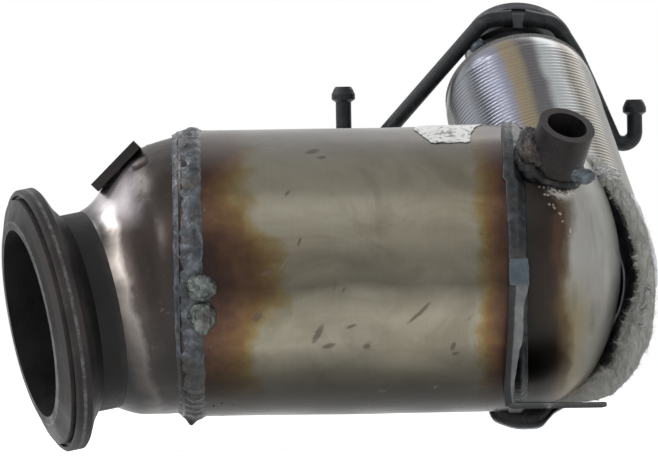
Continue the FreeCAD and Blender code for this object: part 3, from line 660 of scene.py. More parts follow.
finishes = {
    "flangeScale": (scaledSteel, flangeFinish),
    "bossScale": (scaledSteel, {"rust": 0.12, "seed": 0.31}),
    "plateScale": (scaledSteel, {"rust": 0.15, "seed": 0.57}),
    "canMetal": (canSteel, canFinish),
    "coneMetal": (coneSteel, coneFinish),
    "domeMetal": (domeSteel, domeFinish),
    "weldInlet": (weldMetal, {"tint": (0.085, 0.093, 0.105), "dullBelow": -0.012}),
    "weldBlob": (weldMetal, {"tint": (0.13, 0.15, 0.14)}),
    "weldOutlet": (weldMetal, {"tint": (0.03, 0.034, 0.038)}),
    "weldTop": (weldMetal, {"tint": (0.12, 0.145, 0.17)}),
    # near-black weld by the boss: partly heat tint, partly painted shade
    "weldBoss": (weldMetal, {"tint": (0.01, 0.0105, 0.0115)}),
    "strapMetal": (strapSteel, {}),
    "foilMetal": (foilSteel, foilFinish),
    # a near-white copy of the bright steel, lifted so that the hood in shadow looks lit: painted light
    "hoodMetal": (brightSteel, {"tone": (0.86, 0.9, 0.94), "metallic": 0.3, "crumple": 0.8}),
    "brightMetal": (brightSteel, {}),
    # a much darker copy of the bright steel, for the outlet pipe and collar in the shade of the jacket:
    # painted shade
    "dimMetal": (brightSteel, {"tone": (0.09, 0.092, 0.098)}),
    "felt": (feltFibre, {}),
    # dark felt for the mats, standing for the shade inside the cover and the can: painted shade
    "sootFelt": (feltFibre, {
        "dark": (0.05, 0.05, 0.05), "middle": (0.12, 0.12, 0.115), "light": (0.2, 0.2, 0.19)}),
    "tubeBlack": (blackSteel, {}),
    "paper": (labelPaper, {}),
    "brick": (brickCeramic, {}),
}
finish = {name: make(name, **values) for name, (make, values) in finishes.items()}
print("materials ready")

# pieces that keep their shape and only get a finish
carried = {
    "inlet_flange": "flangeScale", "port_plate": "plateScale", "port_neck": "plateScale",
    "cone_plug": "plateScale", "catalyst_brick": "brick", "support_mat": "sootFelt",
    "sensor_boss": "bossScale", "outlet_pipe": "dimMetal", "outlet_collar": "dimMetal",
    "left_pressure_tube": "tubeBlack",
    "right_pressure_tube": "tubeBlack", "tube_saddle": "tubeBlack", "jacket_end_ring": "brightMetal",
    "tube_weld": "weldTop",
}
for node, name in carried.items():
    mesh = nodes[node].data
    mesh.materials.clear()
    mesh.materials.append(finish[name])

# sheet of revolution round the can's axis, from (x, radius) rows
def revolvedSheet(name, profile, material, replaced, wobble, columns=256):
    verts = []
    for layer in (0, sheetWall):
        for x, radius in profile:
            for c in range(columns):
                angle = 2 * math.pi * c / columns
                verts.append(roundCan(x, angle, radius - layer + wobble(x, angle)))
    meshPiece(name, verts, sheetFaces(len(profile), columns), material, replaced)


# the sheet waves a little, and is drawn in at its welded ends
canSizes = {"rows": 60, "waves": 0.22, "waveSize": 22, "pinchLeft": 0.25, "pinchRight": 0.2}


def canWobble(x, angle):
    place = (x * 0.4, math.cos(angle) * 40, math.sin(angle) * 40)
    return canSizes["waves"] * ruffle(place, canSizes["waveSize"], 2) \
        - canSizes["pinchLeft"] * bump(x, canStart, 5) - canSizes["pinchRight"] * bump(x, canEnd, 4)


canRows = canSizes["rows"]
canProfile = [(lerp(canStart, canEnd, i / canRows), canRadius) for i in range(canRows + 1)]
revolvedSheet("canSkin", canProfile, "canMetal", ["can_shell"], canWobble)

# depth of the dished end, radius of its knuckle, and how far it slides into the can
domeSizes = {"depth": 39.4, "knuckle": 33.0, "overlap": 5, "waves": 0.25, "waveSize": 26}


# knuckle and crown arcs of the dished end
def domeProfile(steps):
    depth, knuckle = domeSizes["depth"], domeSizes["knuckle"]
    crown = (seatRadius ** 2 - 2 * seatRadius * knuckle + depth ** 2) / (2 * (depth - knuckle))
    crownX = domeStart + depth - crown
    edge = math.atan2(seatRadius - knuckle, domeStart - crownX)
    points = []
    for i in range(steps + 1):
        angle = lerp(math.pi / 2, 0, i / steps)
        across, out = math.cos(angle), math.sin(angle)
        if angle > edge:
            points.append((domeStart + across * knuckle, seatRadius - knuckle + out * knuckle))
        else:
            points.append((crownX + across * crown, out * crown))
    points[-1] = (points[-1][0], 0.02)  # a pinhole, so that the pole has no double points
    return points


def domeWobble(x, angle):
    place = (x, math.cos(angle) * 40, math.sin(angle) * 40)
    return domeSizes["waves"] * ruffle(place, domeSizes["waveSize"], 2) \
        * smoothStep(domeStart + 45, domeStart + 20, x)


domeRows = [(canEnd - domeSizes["overlap"], seatRadius)] + domeProfile(40)
revolvedSheet("domeSkin", domeRows, "domeMetal", ["outlet_dome"], domeWobble)

coneSizes = {
    # place, direction and radius, from the flange to the can
    "stations": [
        [*(inletAxis * 30), *inletAxis, 41.3],
        [*(inletAxis * 38), *inletAxis, 45.4],
        [48.5, 11.6, 15.6, 0.985, 0.13, 0.1, 54.2],
        [canStart + 1, axisY, axisZ, 1, 0, 0, seatRadius],
    ],
    "columns": 288,
    "dentX": 46.7, "dentZ": 65.5, "dentDepth": 1.0, "dentRim": 0.35, "waves": 0.16,
}


def makeCone(stations, columns, dentX, dentZ, dentDepth, dentRim, waves):
    path = spline(stations, 22)
    verts = []
    for layer in (0, sheetWall):
        for row in path:
            for point in ring(row[:3], row[3:6], row[6] - layer, columns):
                if layer == 0 and point.y < axisY:
                    dx, dz = point.x - dentX, point.z - dentZ
                    along = dx * 0.87 + dz * 0.5
                    across = -dx * 0.5 + dz * 0.87
                    dip = math.exp(-((along / 3.6) ** 4 + (across / 1.5) ** 4))
                    rim = math.exp(-((along / 4.8) ** 4 + (across / 2.6) ** 4)) - dip
                    out = (point - Vector(row[:3])).normalized()
                    point = point + out * (dentRim * rim - dentDepth * dip + waves * ruffle(point, 14, 3))
                verts.append(point)
    faces = sheetFaces(len(path), columns)
    meshPiece("coneSkin", verts, faces, "coneMetal", ["inlet_cone"])


makeCone(**coneSizes)
print("can, cone and dome ready")


# closes a bead against the sheets under it, with two plain rings given as (x, radius)
def closeBead(verts, faces, rows, columns, seats):
    last, inner = rows * columns, len(verts)
    for x, radius in seats:
        verts += [roundCan(x, 2 * math.pi * c / columns, radius) for c in range(columns)]
    for c in range(columns):
        n = (c + 1) % columns
        faces.append((last + c, last + n, inner + n, inner + c))
        faces.append((inner + c, inner + n, inner + columns + n, inner + columns + c))
        faces.append((inner + columns + c, inner + columns + n, n, c))


inletBead = {
    "left": 60.2, "right": 72.6, "swell": 1.5, "lumps": 0.55, "ragged": 1.1,
    "ripples": 62, "rippleHeight": 0.22, "dripX": 65.5, "dripHeight": 3.2,
    # x, z, half width, half height, depth
    "pits": [(64.1, 73.8, 1.7, 1.9, 0.9), (65.3, 65.1, 1.9, 1.5, 0.8)],
}


def makeInletBead(left, right, swell, lumps, ragged, ripples, rippleHeight, dripX, dripHeight, pits):
    columns, rows = 720, 36
    verts = []
    for i in range(rows + 1):
        t = i / rows
        x = lerp(left, right, t)
        arch = math.sin(math.pi * t)
        base = lerp(seatRadius + 0.1, canRadius - 0.1, smoothStep(0.2, 0.7, t))
        for c in range(columns):
            angle = 2 * math.pi * c / columns
            ny, nz = -math.cos(angle), math.sin(angle)
            px = x + ragged * ruffle((0, ny * 60, nz * 60), 7, 3) * (t - 0.5)
            pz = axisZ + nz * canRadius
            height = arch ** 0.55 * (swell + lumps * ruffle((x, ny * 60, nz * 60), 9, 4))
            height += rippleHeight * math.sin(angle * ripples + 2.5 * arch) * arch
            if ny < 0:
                for pitX, pitZ, wide, tall, deep in pits:
                    reach = math.sqrt(((px - pitX) / wide) ** 2 + ((pz - pitZ) / tall) ** 2)
                    height += -deep * math.exp(-reach ** 4) + 0.45 * bump(reach, 1.35, 0.3)
            drip = dripHeight * bump(x, dripX, 2.2) * bump(angle, 1.5 * math.pi, 0.05)
            radius = base + max(0.05, height * min(1, 6 * t, 6 * (1 - t))) + drip
            verts.append(roundCan(px, angle, radius))
    faces = gridFaces(rows + 1, columns)
    closeBead(verts, faces, rows, columns, ((right, canRadius - 1), (left, seatRadius - 0.6)))
    meshPiece("inletBead", verts, faces, "weldInlet", ["inlet_weld"])


makeInletBead(**inletBead)


# blob of weld: a lumpy spheroid half sunk into the surface under it
def mound(name, centre, out, half, material, seed):
    rows, columns, lumps = 40, 96, 0.16
    centre, out = Vector(centre), Vector(out).normalized()
    side, top = planeOn(out)
    across, along, tall = half
    verts = []
    for i in range(1, rows):
        polar = math.pi * i / rows
        for c in range(columns):
            angle = 2 * math.pi * c / columns
            wide = math.sin(polar)
            d = Vector((math.cos(angle) * wide, math.sin(angle) * wide, math.cos(polar)))
            swell = 1 + lumps * ruffle(d * 6 + Vector((seed, seed, 0)), 5, 4)
            verts.append(centre + (side * d.x * across + top * d.y * along + out * d.z * tall) * swell)
    faces = gridFaces(rows - 1, columns)
    tip, root, last = len(verts), len(verts) + 1, (rows - 2) * columns
    verts += [centre + out * tall * (1 + lumps * 0.2), centre - out * tall]
    faces += [(tip, (c + 1) % columns, c) for c in range(columns)]
    faces += [(root, last + c, last + (c + 1) % columns) for c in range(columns)]
    meshPiece(name, verts, flipped(faces), material)


# on the front of the can; half is half the size across, along and outwards
canBlobs = {
    "blobUpper": {"x": 71.2, "z": 13.4, "half": (6.7, 6.3, 6.2), "material": "weldBlob", "seed": 3},
    "blobLower": {"x": 71.6, "z": 1.8, "half": (5.9, 6.9, 6.0), "material": "weldBlob", "seed": 11},
    "blobSmall": {"x": 68.2, "z": -8.6, "half": (3.4, 3.0, 2.0), "material": "weldInlet", "seed": 17},
    "blobFoot": {"x": 66.5, "z": -24.0, "half": (3.0, 5.4, 1.4), "material": "weldInlet", "seed": 23},
}
for name, blob in canBlobs.items():
    height = blob["z"] - axisZ
    depth = -math.sqrt((canRadius - 0.4) ** 2 - height ** 2)
    place = (blob["x"], axisY + depth, blob["z"])
    mound(name, place, (0, depth, height), blob["half"], blob["material"], blob["seed"])

outletBead = {
    "left": 197.4, "right": 205.3, "swell": 1.0, "lumps": 0.14, "groove": 0.25, "upperHeight": 0.7,
}


def makeOutletBead(left, right, swell, lumps, groove, upperHeight):
    columns, rows = 600, 22
    verts = []
    for i in range(rows + 1):
        t = i / rows
        base = lerp(canRadius - 0.1, seatRadius + 0.1, smoothStep(0.55, 0.95, t))
        for c in range(columns):
            angle = 2 * math.pi * c / columns
            ny, nz = -math.cos(angle), math.sin(angle)
            place = Vector((0, ny * 60, nz * 60))
            upper = smoothStep(54.5, 56.5, axisZ + nz * canRadius) if ny < 0 else 0
            start = left + 0.45 * ruffle(place, 14, 3) - 1.2 * upper
            end = right + 0.4 * ruffle(place + Vector((40, 0, 0)), 12, 3) - 1.6 * upper
            x = lerp(start, end, t)
            hump = swell + lumps * ruffle((x, ny * 60, nz * 60), 12, 3) - groove * bump(t, 0.42, 0.2)
            hump = math.sin(math.pi * t) ** 0.3 * hump + upperHeight * upper
            verts.append(roundCan(x, angle, base + max(0.05, hump)))
    faces = gridFaces(rows + 1, columns)
    closeBead(verts, faces, rows, columns, ((right + 0.1, seatRadius - 0.6), (left + 0.2, canRadius - 0.7)))
    meshPiece("outletBead", verts, faces, "weldOutlet", ["outlet_weld"])


makeOutletBead(**outletBead)
print("beads ready")

jacketRun = {
    "length": 112.0, "radius": 32.1, "mouth": 24.2, "wall": 1.2, "turnIn": 12,
    "ribSpacing": 1.95, "ribHeight": 0.4, "ribAxis": (-0.25, 0.48, 0.84),
}


# foil round the pipe: slanting ribs, and an end that turns in
def makeJacketRun(length, radius, mouth, wall, turnIn, ribSpacing, ribHeight, ribAxis):
    rows, columns = 400, 180
    ribAxis = Vector(ribAxis).normalized()
    straight = length - turnIn
    verts = []
    for i in range(rows):
        along = length * i / (rows - 1)
        turned = max(0.0, (along - straight) / turnIn)
        reach = lerp(mouth, radius, math.sqrt(max(0.0, 1 - turned ** 2)))
        fade = smoothStep(straight + 1, straight - 3, along)
        centre = pipeStart + pipeAxis * along
        for point in ring(centre, pipeAxis, reach, columns):
            crest = math.cos(2 * math.pi * point.dot(ribAxis) / ribSpacing + 1.2 * ruffle(point, 30, 2))
            out = (point - centre).normalized()
            flat = 0.45 + 0.55 * smoothStep(0.65, -0.1, out.x)  # ribs are pressed flatter on the right
            verts.append(point + out * (ribHeight * crest * fade * flat + 0.15 * ruffle(point, 20, 2)))
    for along, reach in ((0, radius - wall), (straight, radius - wall), (length, mouth - 0.8)):
        verts += ring(pipeStart + pipeAxis * along, pipeAxis, reach, columns)
    inner, last = rows * columns, (rows - 1) * columns
    faces = gridFaces(rows, columns) + flipped(gridFaces(3, columns, offset=inner))
    for c in range(columns):
        n = (c + 1) % columns
        faces.append((inner + c, inner + n, n, c))
        faces.append((last + c, last + n, inner + 2 * columns + n, inner + 2 * columns + c))
    piece = meshPiece("jacketRun", verts, faces, "foilMetal", ["jacket_foil"])
    storeValues(piece, "around", [(i % columns) / columns for i in range(len(piece.data.vertices))])


makeJacketRun(**jacketRun)

jacketBend = {
    "wall": 0.9, "waves": 0.5,
    # place, direction and radius, from the dome to the straight run
    "stations": [
        [213, axisY + 20, axisZ - 6, 0.02, 1, -0.1, 34],
        [214, axisY + 42, axisZ - 8, 0.02, 1, 0.15, 36],
        [219, axisY + 58, axisZ - 3, 0.0, 0.9, 0.42, 34.5],
        [*(pipeStart + pipeAxis * 3), *pipeAxis, 32.0],
    ],
}


def makeJacketBend(wall, waves, stations):
    columns = 120
    path = spline(stations, 16)
    verts = []
    for layer in (0, wall):
        for row in path:
            for point in ring(row[:3], row[3:6], row[6] - layer, columns):
                verts.append(point + Vector((0, 0, waves)) * ruffle(point, 12, 3))
    meshPiece("jacketBend", verts, sheetFaces(len(path), columns), "hoodMetal")


makeJacketBend(**jacketBend)

cover = {
    # open edge towards the dome, once round: x, distance behind the axis, z
    "rim": [
        (189, 22, -37), (190.5, 8, -43), (196, 4, -46), (204, 3, -47.5), (211, 3, -46.5),
        (216.5, 3, -41), (224, 3, -37.5), (233, 3, -34), (242, 3, -28), (249, 3, -19), (254, 3, -8),
        (257, 3, 4), (257.5, 3, 16), (256, 3, 27), (252, 3, 38), (246.5, 3, 48.5), (240, 4, 56),
        (230, 8, 62), (216, 24, 64), (203, 42, 58), (196, 56, 44), (191, 63, 24), (189, 63, 4),
        (188.5, 54, -18), (188.5, 40, -30),
    ],
    "mouth": 33.2, "belly": 9, "crumple": 0.9, "crumpleSize": 11,
}
hoodLayer = {"inset": 0.0, "wall": 0.9, "material": "hoodMetal", "slot": "bright_stainless"}
matLayer = {"inset": 2.6, "wall": 3.0, "material": "sootFelt", "slot": "mineral_fibre",
            "replaced": ["insulation_mat"], "run": 108.0}


def turnRound(point, centre):
    return math.atan2(point[2] - centre[2], point[0] - centre[0])


# crumpled cover from the rim to a round mouth on the pipe; run carries it on along the pipe
def makeCover(name, inset, wall, material, slot, replaced=(), run=0.0):
    closed = spline(cover["rim"] + [cover["rim"][0]], 8)[:-1]
    columns, rows = len(closed), 44
    mouth, mouthCentre = cover["mouth"] - inset * 0.8, pipeStart + pipeAxis * 8
    middle = (222, 0, axisZ + 2)
    goal = ring(mouthCentre, pipeAxis, mouth, columns)
    # the rim and the mouth are paired so that they start together and go round the same way
    first = turnRound(closed[0], middle)
    nearest = min(range(columns), key=lambda k: abs(turnRound(goal[k], mouthCentre) - first))
    rimWay = sum(math.sin(turnRound(q, middle) - turnRound(p, middle)) for p, q in zip(closed, closed[1:]))
    goalWay = math.sin(turnRound(goal[1], mouthCentre) - turnRound(goal[0], mouthCentre))
    step = 1 if rimWay * goalWay > 0 else -1
    verts = []
    for layer in (0, wall):
        for i in range(rows):
            t = i / (rows - 1)
            swell = cover["belly"] * math.sin(math.pi * t) * (1 - t) ** 0.7 - layer - inset * (1 - t)
            for c in range(columns):
                edge = Vector(closed[c]) + Vector((0, axisY + inset * 1.2, 0))
                hub = edge.lerp(goal[(nearest + step * c) % columns], t)
                out = Vector((hub.x - 219, (hub.y - axisY - 30) * 0.6, hub.z - axisZ)).normalized()
                crumple = cover["crumple"] * ruffle(hub, cover["crumpleSize"], 4) * min(1, 4 * t + 0.25)
                verts.append(hub + out * (swell + crumple))
        if run:
            for along in (30, 60, 90, run):
                rounded = ring(pipeStart + pipeAxis * along, pipeAxis, mouth - layer, columns)
                verts += [rounded[(nearest + step * c) % columns] for c in range(columns)]
    faces = sheetFaces(rows + (4 if run else 0), columns)
    meshPiece(name, verts, flipped(faces) if step > 0 else faces, material, replaced)


makeCover("jacketHood", **hoodLayer)
makeCover("matLining", **matLayer)

hem = {
    # along the torn edge of the cover: x, z, half width
    "route": [[228.5, 67.0, 1.6], [233.5, 63.5, 2.6], [237.7, 59.5, 3], [245.8, 48.6, 3], [251.9, 35, 3.2],
              [255.0, 21.5, 3], [255.0, 7.9, 4], [250.6, -8.4, 6.2], [245.1, -22, 5], [235, -30.1, 5],
              [222.8, -33.5, 3.5], [216.3, -36, 2]],
    "lumps": 0.2, "spikes": 3.2,
}


# ragged felt band that hangs out of the cover
def makeHem(route, lumps, spikes):
    path = spline(route, 60)
    count, around = len(path), 48
    verts = []
    for i, (x, z, half) in enumerate(path):
        ahead, behind = path[min(i + 1, count - 1)], path[max(i - 1, 0)]
        tangent = Vector((ahead[0] - behind[0], ahead[1] - behind[1])).normalized()
        nx, nz = -tangent.y, tangent.x
        outwards = nx * (x - 215) + nz * (z - 10) > 0
        taper = min(1.0, 9 * i / count + 0.05, 9 * (count - 1 - i) / count + 0.05) ** 0.6
        spike = max(0.0, ruffle((x, z, 9), 3.2, 3)) * spikes
        for c in range(around):
            angle = 2 * math.pi * c / around
            ca, sa = math.cos(angle), math.sin(angle)
            lump = 1 + lumps * ruffle((x, 9 * ca, z + 9 * sa), 5, 5)
            inner = spike * smoothStep(0.4, 1.0, -ca if outwards else ca)
            wide = (half * taper * lump + inner * taper) * ca
            deep = (1.6 + 0.45 * half) * taper * lump * sa
            verts.append((x + nx * wide, axisY + 0.5 + deep, z + nz * wide))
    faces = gridFaces(count, around)
    faces += [tuple(reversed(range(around))), tuple((count - 1) * around + c for c in range(around))]
    return meshPiece("hemFelt", verts, flipped(faces), "felt", ["jacket_hem"])


hemPiece = makeHem(**hem)

# pale scraps of torn foil stuck to the hem, in the white paper finish; on the foil curls the white stands
# for glints, a painted highlight; forward is how far they stand before the can's axis
scraps = {
    "tornTop": {"x": 239.5, "z": 58.5, "wide": 11.5, "tall": 4.6, "tilt": -0.32, "seed": 1,
                "forward": 2.5, "fold": 1.6},
    "foilCurl0": {"x": 256.0, "z": 9.5, "wide": 4.6, "tall": 1.7, "tilt": 1.0, "seed": 0},
    "foilCurl1": {"x": 254.4, "z": 3.4, "wide": 4.8, "tall": 1.6, "tilt": 0.9, "seed": 7},
    "foilCurl2": {"x": 253.2, "z": -3.4, "wide": 4.2, "tall": 1.4, "tilt": 1.05, "seed": 14},
    "foilCurl3": {"x": 247.5, "z": 47.5, "wide": 6.5, "tall": 2.0, "tilt": -1.0, "seed": 21},
}


def makeScrap(name, x, z, wide, tall, tilt, seed, forward=4.2, fold=0.9):
    rows, columns = 26, 34
    centre = Vector((x, axisY - forward, z))
    turnX, turnZ = math.cos(tilt), math.sin(tilt)
    verts = []
    for layer in (0, 0.35):
        for r in range(rows):
            for c in range(columns):
                u, v = c / (columns - 1) * 2 - 1, r / (rows - 1) * 2 - 1
                edge = 1 + 0.28 * ruffle((u * 3 + seed, v * 3, seed), 1.6, 4)
                across, up = u * wide * 0.5 * edge, v * tall * 0.5 * edge
                crease = abs(ruffle((u * 4, v * 4, seed + 5), 3.0, 3))
                out = fold * crease * 2 - fold * (u * u + v * v) * 0.3
                across, up = across * turnX - up * turnZ, across * turnZ + up * turnX
                verts.append(centre + Vector((across, layer - out, up)))
    meshPiece(name, verts, sheetFaces(rows, columns, False), "paper")


for name, scrap in scraps.items():
    makeScrap(name, **scrap)
print("jacket ready")

# spreads one small piece over a surface, at random sizes and turns
def scatterTree():
    tree = bpy.data.node_groups.new("scatterOver", "GeometryNodeTree")
    for label, kind in (("Geometry", "Geometry"), ("Piece", "Object"), ("Density", "Float"),
                        ("Smallest", "Float"), ("Largest", "Float"), ("Lean", "Float"), ("Seed", "Int"),
                        ("Material", "Material")):
        tree.interface.new_socket(label, in_out="INPUT", socket_type="NodeSocket" + kind)
    tree.interface.new_socket("Geometry", in_out="OUTPUT", socket_type="NodeSocketGeometry")
    add = adder(tree)
    given = tree.nodes.new("NodeGroupInput").outputs
    seed = given["Seed"]
    spread = add("GeometryNodeDistributePointsOnFaces",
                 {"Mesh": given["Geometry"], "Density": given["Density"], "Seed": seed}).outputs
    size = add("FunctionNodeRandomValue", {2: given["Smallest"], 3: given["Largest"], "Seed": seed})
    lean = add("FunctionNodeRandomValue", {"Seed": seed}, data_type="FLOAT_VECTOR").outputs[0]
    lean = vectorMaths(add, "SUBTRACT", {0: lean, 1: (0.5, 0.5, 0.5)})
    lean = vectorMaths(add, "SCALE", {0: lean, "Scale": given["Lean"]})
    turned = add("FunctionNodeRotateEuler", {"Rotation": spread["Rotation"], "Rotate By": lean},
                 rotation_type="EULER", space="LOCAL").outputs[0]
    piece = add("GeometryNodeObjectInfo", {"Object": given["Piece"]}, transform_space="ORIGINAL")
    placed = add("GeometryNodeInstanceOnPoints", {
        "Points": spread["Points"], "Instance": piece.outputs["Geometry"],
        "Rotation": turned, "Scale": size.outputs[1]})
    real = add("GeometryNodeRealizeInstances", {"Geometry": placed.outputs[0]})
    done = add("GeometryNodeSetMaterial", {"Geometry": real.outputs[0], "Material": given["Material"]})
    tree.links.new(done.outputs[0], tree.nodes.new("NodeGroupOutput").inputs[0])
    return tree


scatter = scatterTree()


# a plain mesh of the small piece scattered over the host mesh
def scattered(name, host, piece, material, slot, **inputs):
    carrier = bpy.data.objects.new(name, host)
    bpy.context.scene.collection.objects.link(carrier)
    modifier = carrier.modifiers.new("scatter", "NODES")
    modifier.node_group = scatter
    ids = {item.name: item.identifier for item in scatter.interface.items_tree if item.in_out == "INPUT"}
    for label, value in {**inputs, "Piece": piece, "Material": finish[material]}.items():
        modifier[ids[label]] = value
    carrier.update_tag()
    graph = bpy.context.evaluated_depsgraph_get()
    mesh = bpy.data.meshes.new_from_object(carrier.evaluated_get(graph), depsgraph=graph)
    carrier.modifiers.remove(modifier)
    carrier.data = mesh
    mesh.materials.clear()
    mesh.materials.append(finish[material])
    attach(carrier, "root")


def looseMesh(name, verts, faces):
    mesh = bpy.data.meshes.new(name)
    mesh.from_pydata([Vector(v) * mm for v in verts], [], faces)
    return mesh


# a curved fibre with a triangle for its section
hairSizes = {"length": 2.6, "thick": 0.07, "bend": 0.9}
hairFibres = {"Density": 900000.0, "Smallest": 0.4, "Largest": 1.0, "Lean": 2.0, "Seed": 4}


def makeHair(length, thick, bend):
    verts = []
    for t in (0, 0.33, 0.66, 1.0):
        x, r = bend * math.sin(t * 1.6) * t, thick * (1 - 0.7 * t)
        verts += [(x + r * math.cos(a), 0.5 * t * t + r * math.sin(a), length * t) for a in (0, 2.09, 4.19)]
    mesh = looseMesh("hair", verts, gridFaces(4, 3) + [(2, 1, 0), (9, 10, 11)])
    return bpy.data.objects.new("hair", mesh)


scattered("hemFibres", hemPiece.data, makeHair(**hairSizes), "felt", "mineral_fibre", **hairFibres)

# spatter beside each weld: where along the can, and how thick it lies
spatter = {
    "spatterInlet": {"low": 72, "high": 84, "material": "weldInlet",
                     "Density": 9000.0, "Smallest": 0.35, "Largest": 1.1, "Lean": 0.2, "Seed": 9},
    "spatterOutlet": {"low": 186, "high": 197, "material": "weldOutlet",
                      "Density": 3500.0, "Smallest": 0.3, "Largest": 0.7, "Lean": 0.2, "Seed": 21},
}
# profile: radius, height
dropSizes = {"sides": 8, "profile": [(0.5, -0.1), (0.52, 0.1), (0.36, 0.34), (0.12, 0.46)]}


def makeDrop(sides, profile):
    turns = [2 * math.pi * c / sides for c in range(sides)]
    verts = [(r * math.cos(a), r * math.sin(a), z) for r, z in profile for a in turns]
    ends = [tuple(reversed(range(sides))), tuple(len(verts) - sides + c for c in range(sides))]
    return bpy.data.objects.new("drop", looseMesh("drop", verts, gridFaces(len(profile), sides) + ends))


def addSpatter(name, drop, low, high, material, **inputs):
    columns = 240
    verts = [roundCan(x, 2 * math.pi * c / columns, canRadius) for x in (low, high) for c in range(columns)]
    strip = looseMesh(name + "Strip", verts, gridFaces(2, columns))
    scattered(name, strip, drop, material, "weld_metal", **inputs)


drop = makeDrop(**dropSizes)
for name, values in spatter.items():
    addSpatter(name, drop, **values)
print("fibres and spatter ready")

bracket = {
    # height, then x of the left side, of the fold and of the sheared edge
    "strap": [[23.6, 198.0, 198.2, 205.8], [13.5, 197.8, 198.1, 206.0], [12.2, 197.6, 200.6, 205.6],
              [4, 197.3, 200.1, 203.6], [-9, 196.7, 199.3, 203.0], [-19, 196.0, 198.4, 200.6],
              [-27, 195.4, 197.9, 199.4], [-32, 195.0, 197.9, 198.7], [-36.9, 195.6, 198.6, 199.2]],
    "footLeft": 195.4, "footRight": 237.0, "footTop": -35.6, "footBottom": -37.9,
    "rightmost": 206.5,
}


# bent strap: dark face on the left, pale sheared edge on the right, thin foot below
def makeBracket(strap, footLeft, footRight, footTop, footBottom, rightmost):
    low, high = boxOf("mounting_bracket")
    front, back = low[1] + 0.2, high[1]
    verts, pale = [], []
    path = spline(strap, 26)
    for z, left, fold, right in path:
        wave = 0.35 * ruffle((3, z, 1), 7, 3)
        section = (
            (left, back, 0), (left, front + 2.4, 0), (fold - 0.25, front + 0.15, 0.1), (fold, front, 0.75),
            (fold + 0.35, front + 0.1, 1), (right + wave, front + 0.7, 1),
            (right + wave - 0.1, front + 1.6, 0.2), (left + 3, front + 3.2, 0), (left + 3, back, 0))
        verts += [(min(x, rightmost), y, z) for x, y, tone in section]
        pale += [tone for x, y, tone in section]
    corners, start, steps = 9, len(verts), 40
    faces = gridFaces(len(path), corners)
    faces += [tuple(reversed(range(corners))), tuple(start - corners + c for c in range(corners))]
    for i in range(steps + 1):
        t = i / steps
        x = lerp(footLeft, footRight, t)
        top = footTop - 0.5 * smoothStep(0.1, 1.0, t) - 1.1 * smoothStep(0.08, 0, t)
        top += 0.12 * ruffle((x, 2, 5), 8, 2)
        bottom = footBottom - 0.2 * t + 1.4 * smoothStep(0.07, 0, t) + 0.5 * smoothStep(0.95, 1.0, t)
        inset = 1.5 * smoothStep(0.96, 1.0, t)
        near, far = front + inset, back - inset
        verts += [(x, near, bottom), (x, near, top), (x, far, top), (x, far, bottom)]
        pale += [0.0, 0.4, 0.0, 0.0]
    faces += gridFaces(steps + 1, 4, offset=start)
    faces += [tuple(reversed(range(start, start + 4))), tuple(start + 4 * steps + c for c in range(4))]
    replaced = ["mounting_bracket"]
    piece = meshPiece("bracketStrap", verts, faces, "strapMetal", replaced, smooth=False)
    storeValues(piece, "pale", pale)


makeBracket(**bracket)

boss = {
    "axis": Vector((0.28, -0.55, 0.79)).normalized(), "radius": 11.8,
    "mouth": Vector((domeStart + 17.5, axisY - 47, axisZ + canRadius - 0.75)),
    "fillet": 2.2, "seamwardGrowth": 3.0, "lowerLoss": 1.1, "lumps": 0.22,
}
domeEdge = domeProfile(160)


# how far a point lies outside the dished end
def domeGap(point):
    r = math.hypot(point.y - axisY, point.z - axisZ)
    x, radius = min(domeEdge, key=lambda row: (row[0] - point.x) ** 2 + (row[1] - r) ** 2)
    away = math.hypot(point.x - x, r - radius)
    inside = (point.x < x) if radius < 20 else (r < radius)
    return -away if inside else away


# dark lumpy fillet round the foot of the boss, run out towards the seam; its near black is partly heat tint
# and partly painted shade
def makeBossWeld(axis, radius, mouth, fillet, seamwardGrowth, lowerLoss, lumps):
    columns, around, deepest = 160, 30, 44
    side, top = planeOn(axis)
    verts = []
    for c in range(columns):
        angle = 2 * math.pi * c / columns
        spoke = side * math.cos(angle) + top * math.sin(angle)
        reach = 0.0
        while reach < deepest and domeGap(mouth + spoke * (radius + 1.5) - axis * reach) > 0:
            reach += 0.5
        foot = mouth + spoke * (radius + 0.3) - axis * (reach - 2.0)
        big = fillet + seamwardGrowth * smoothStep(0.2, 1.0, -spoke.x)
        big -= lowerLoss * smoothStep(0.0, 0.9, -spoke.z)
        for k in range(around):
            turn = 2 * math.pi * k / around
            out, along = spoke * math.cos(turn), axis * math.sin(turn)
            lump = 1 + lumps * ruffle(foot + out * 5 + along * 5, 5, 4)
            verts.append(foot + out * big * 0.95 * lump + along * big * 1.15 * lump)
    meshPiece("bossFillet", verts, flipped(gridFaces(columns, around, True)), "weldBoss")


makeBossWeld(**boss)

bossBlobs = {
    "bossBlob": {"place": (229.0, -43.0, 57.0), "half": (5.0, 3.6, 3.4), "material": "weldTop", "seed": 31},
    "bossRoot": {"place": (209.0, -26.0, 68.5), "half": (7.0, 10.0, 7.0), "material": "weldBoss",
                 "seed": 37},
}
blobOut = (0.1, -0.72, 0.68)
for name, blob in bossBlobs.items():
    mound(name, blob["place"], blobOut, blob["half"], blob["material"], blob["seed"])

label = {
    # torn sides: share of the way down, then x
    "left": [[0.0, 165.5], [0.3, 163.9], [0.55, 160.3], [0.8, 163.2], [1.0, 167.0]],
    "right": [[0.0, 189.0], [0.3, 187.9], [0.62, 185.0], [1.0, 182.6]],
    "topAngle": math.radians(99), "lowAngle": math.asin((71.6 - axisZ) / canRadius),
    "lift": 0.25, "ragged": 0.55,
}


def edgeAt(edge, v):
    return min(edge, key=lambda row: abs(row[0] - v))[1]


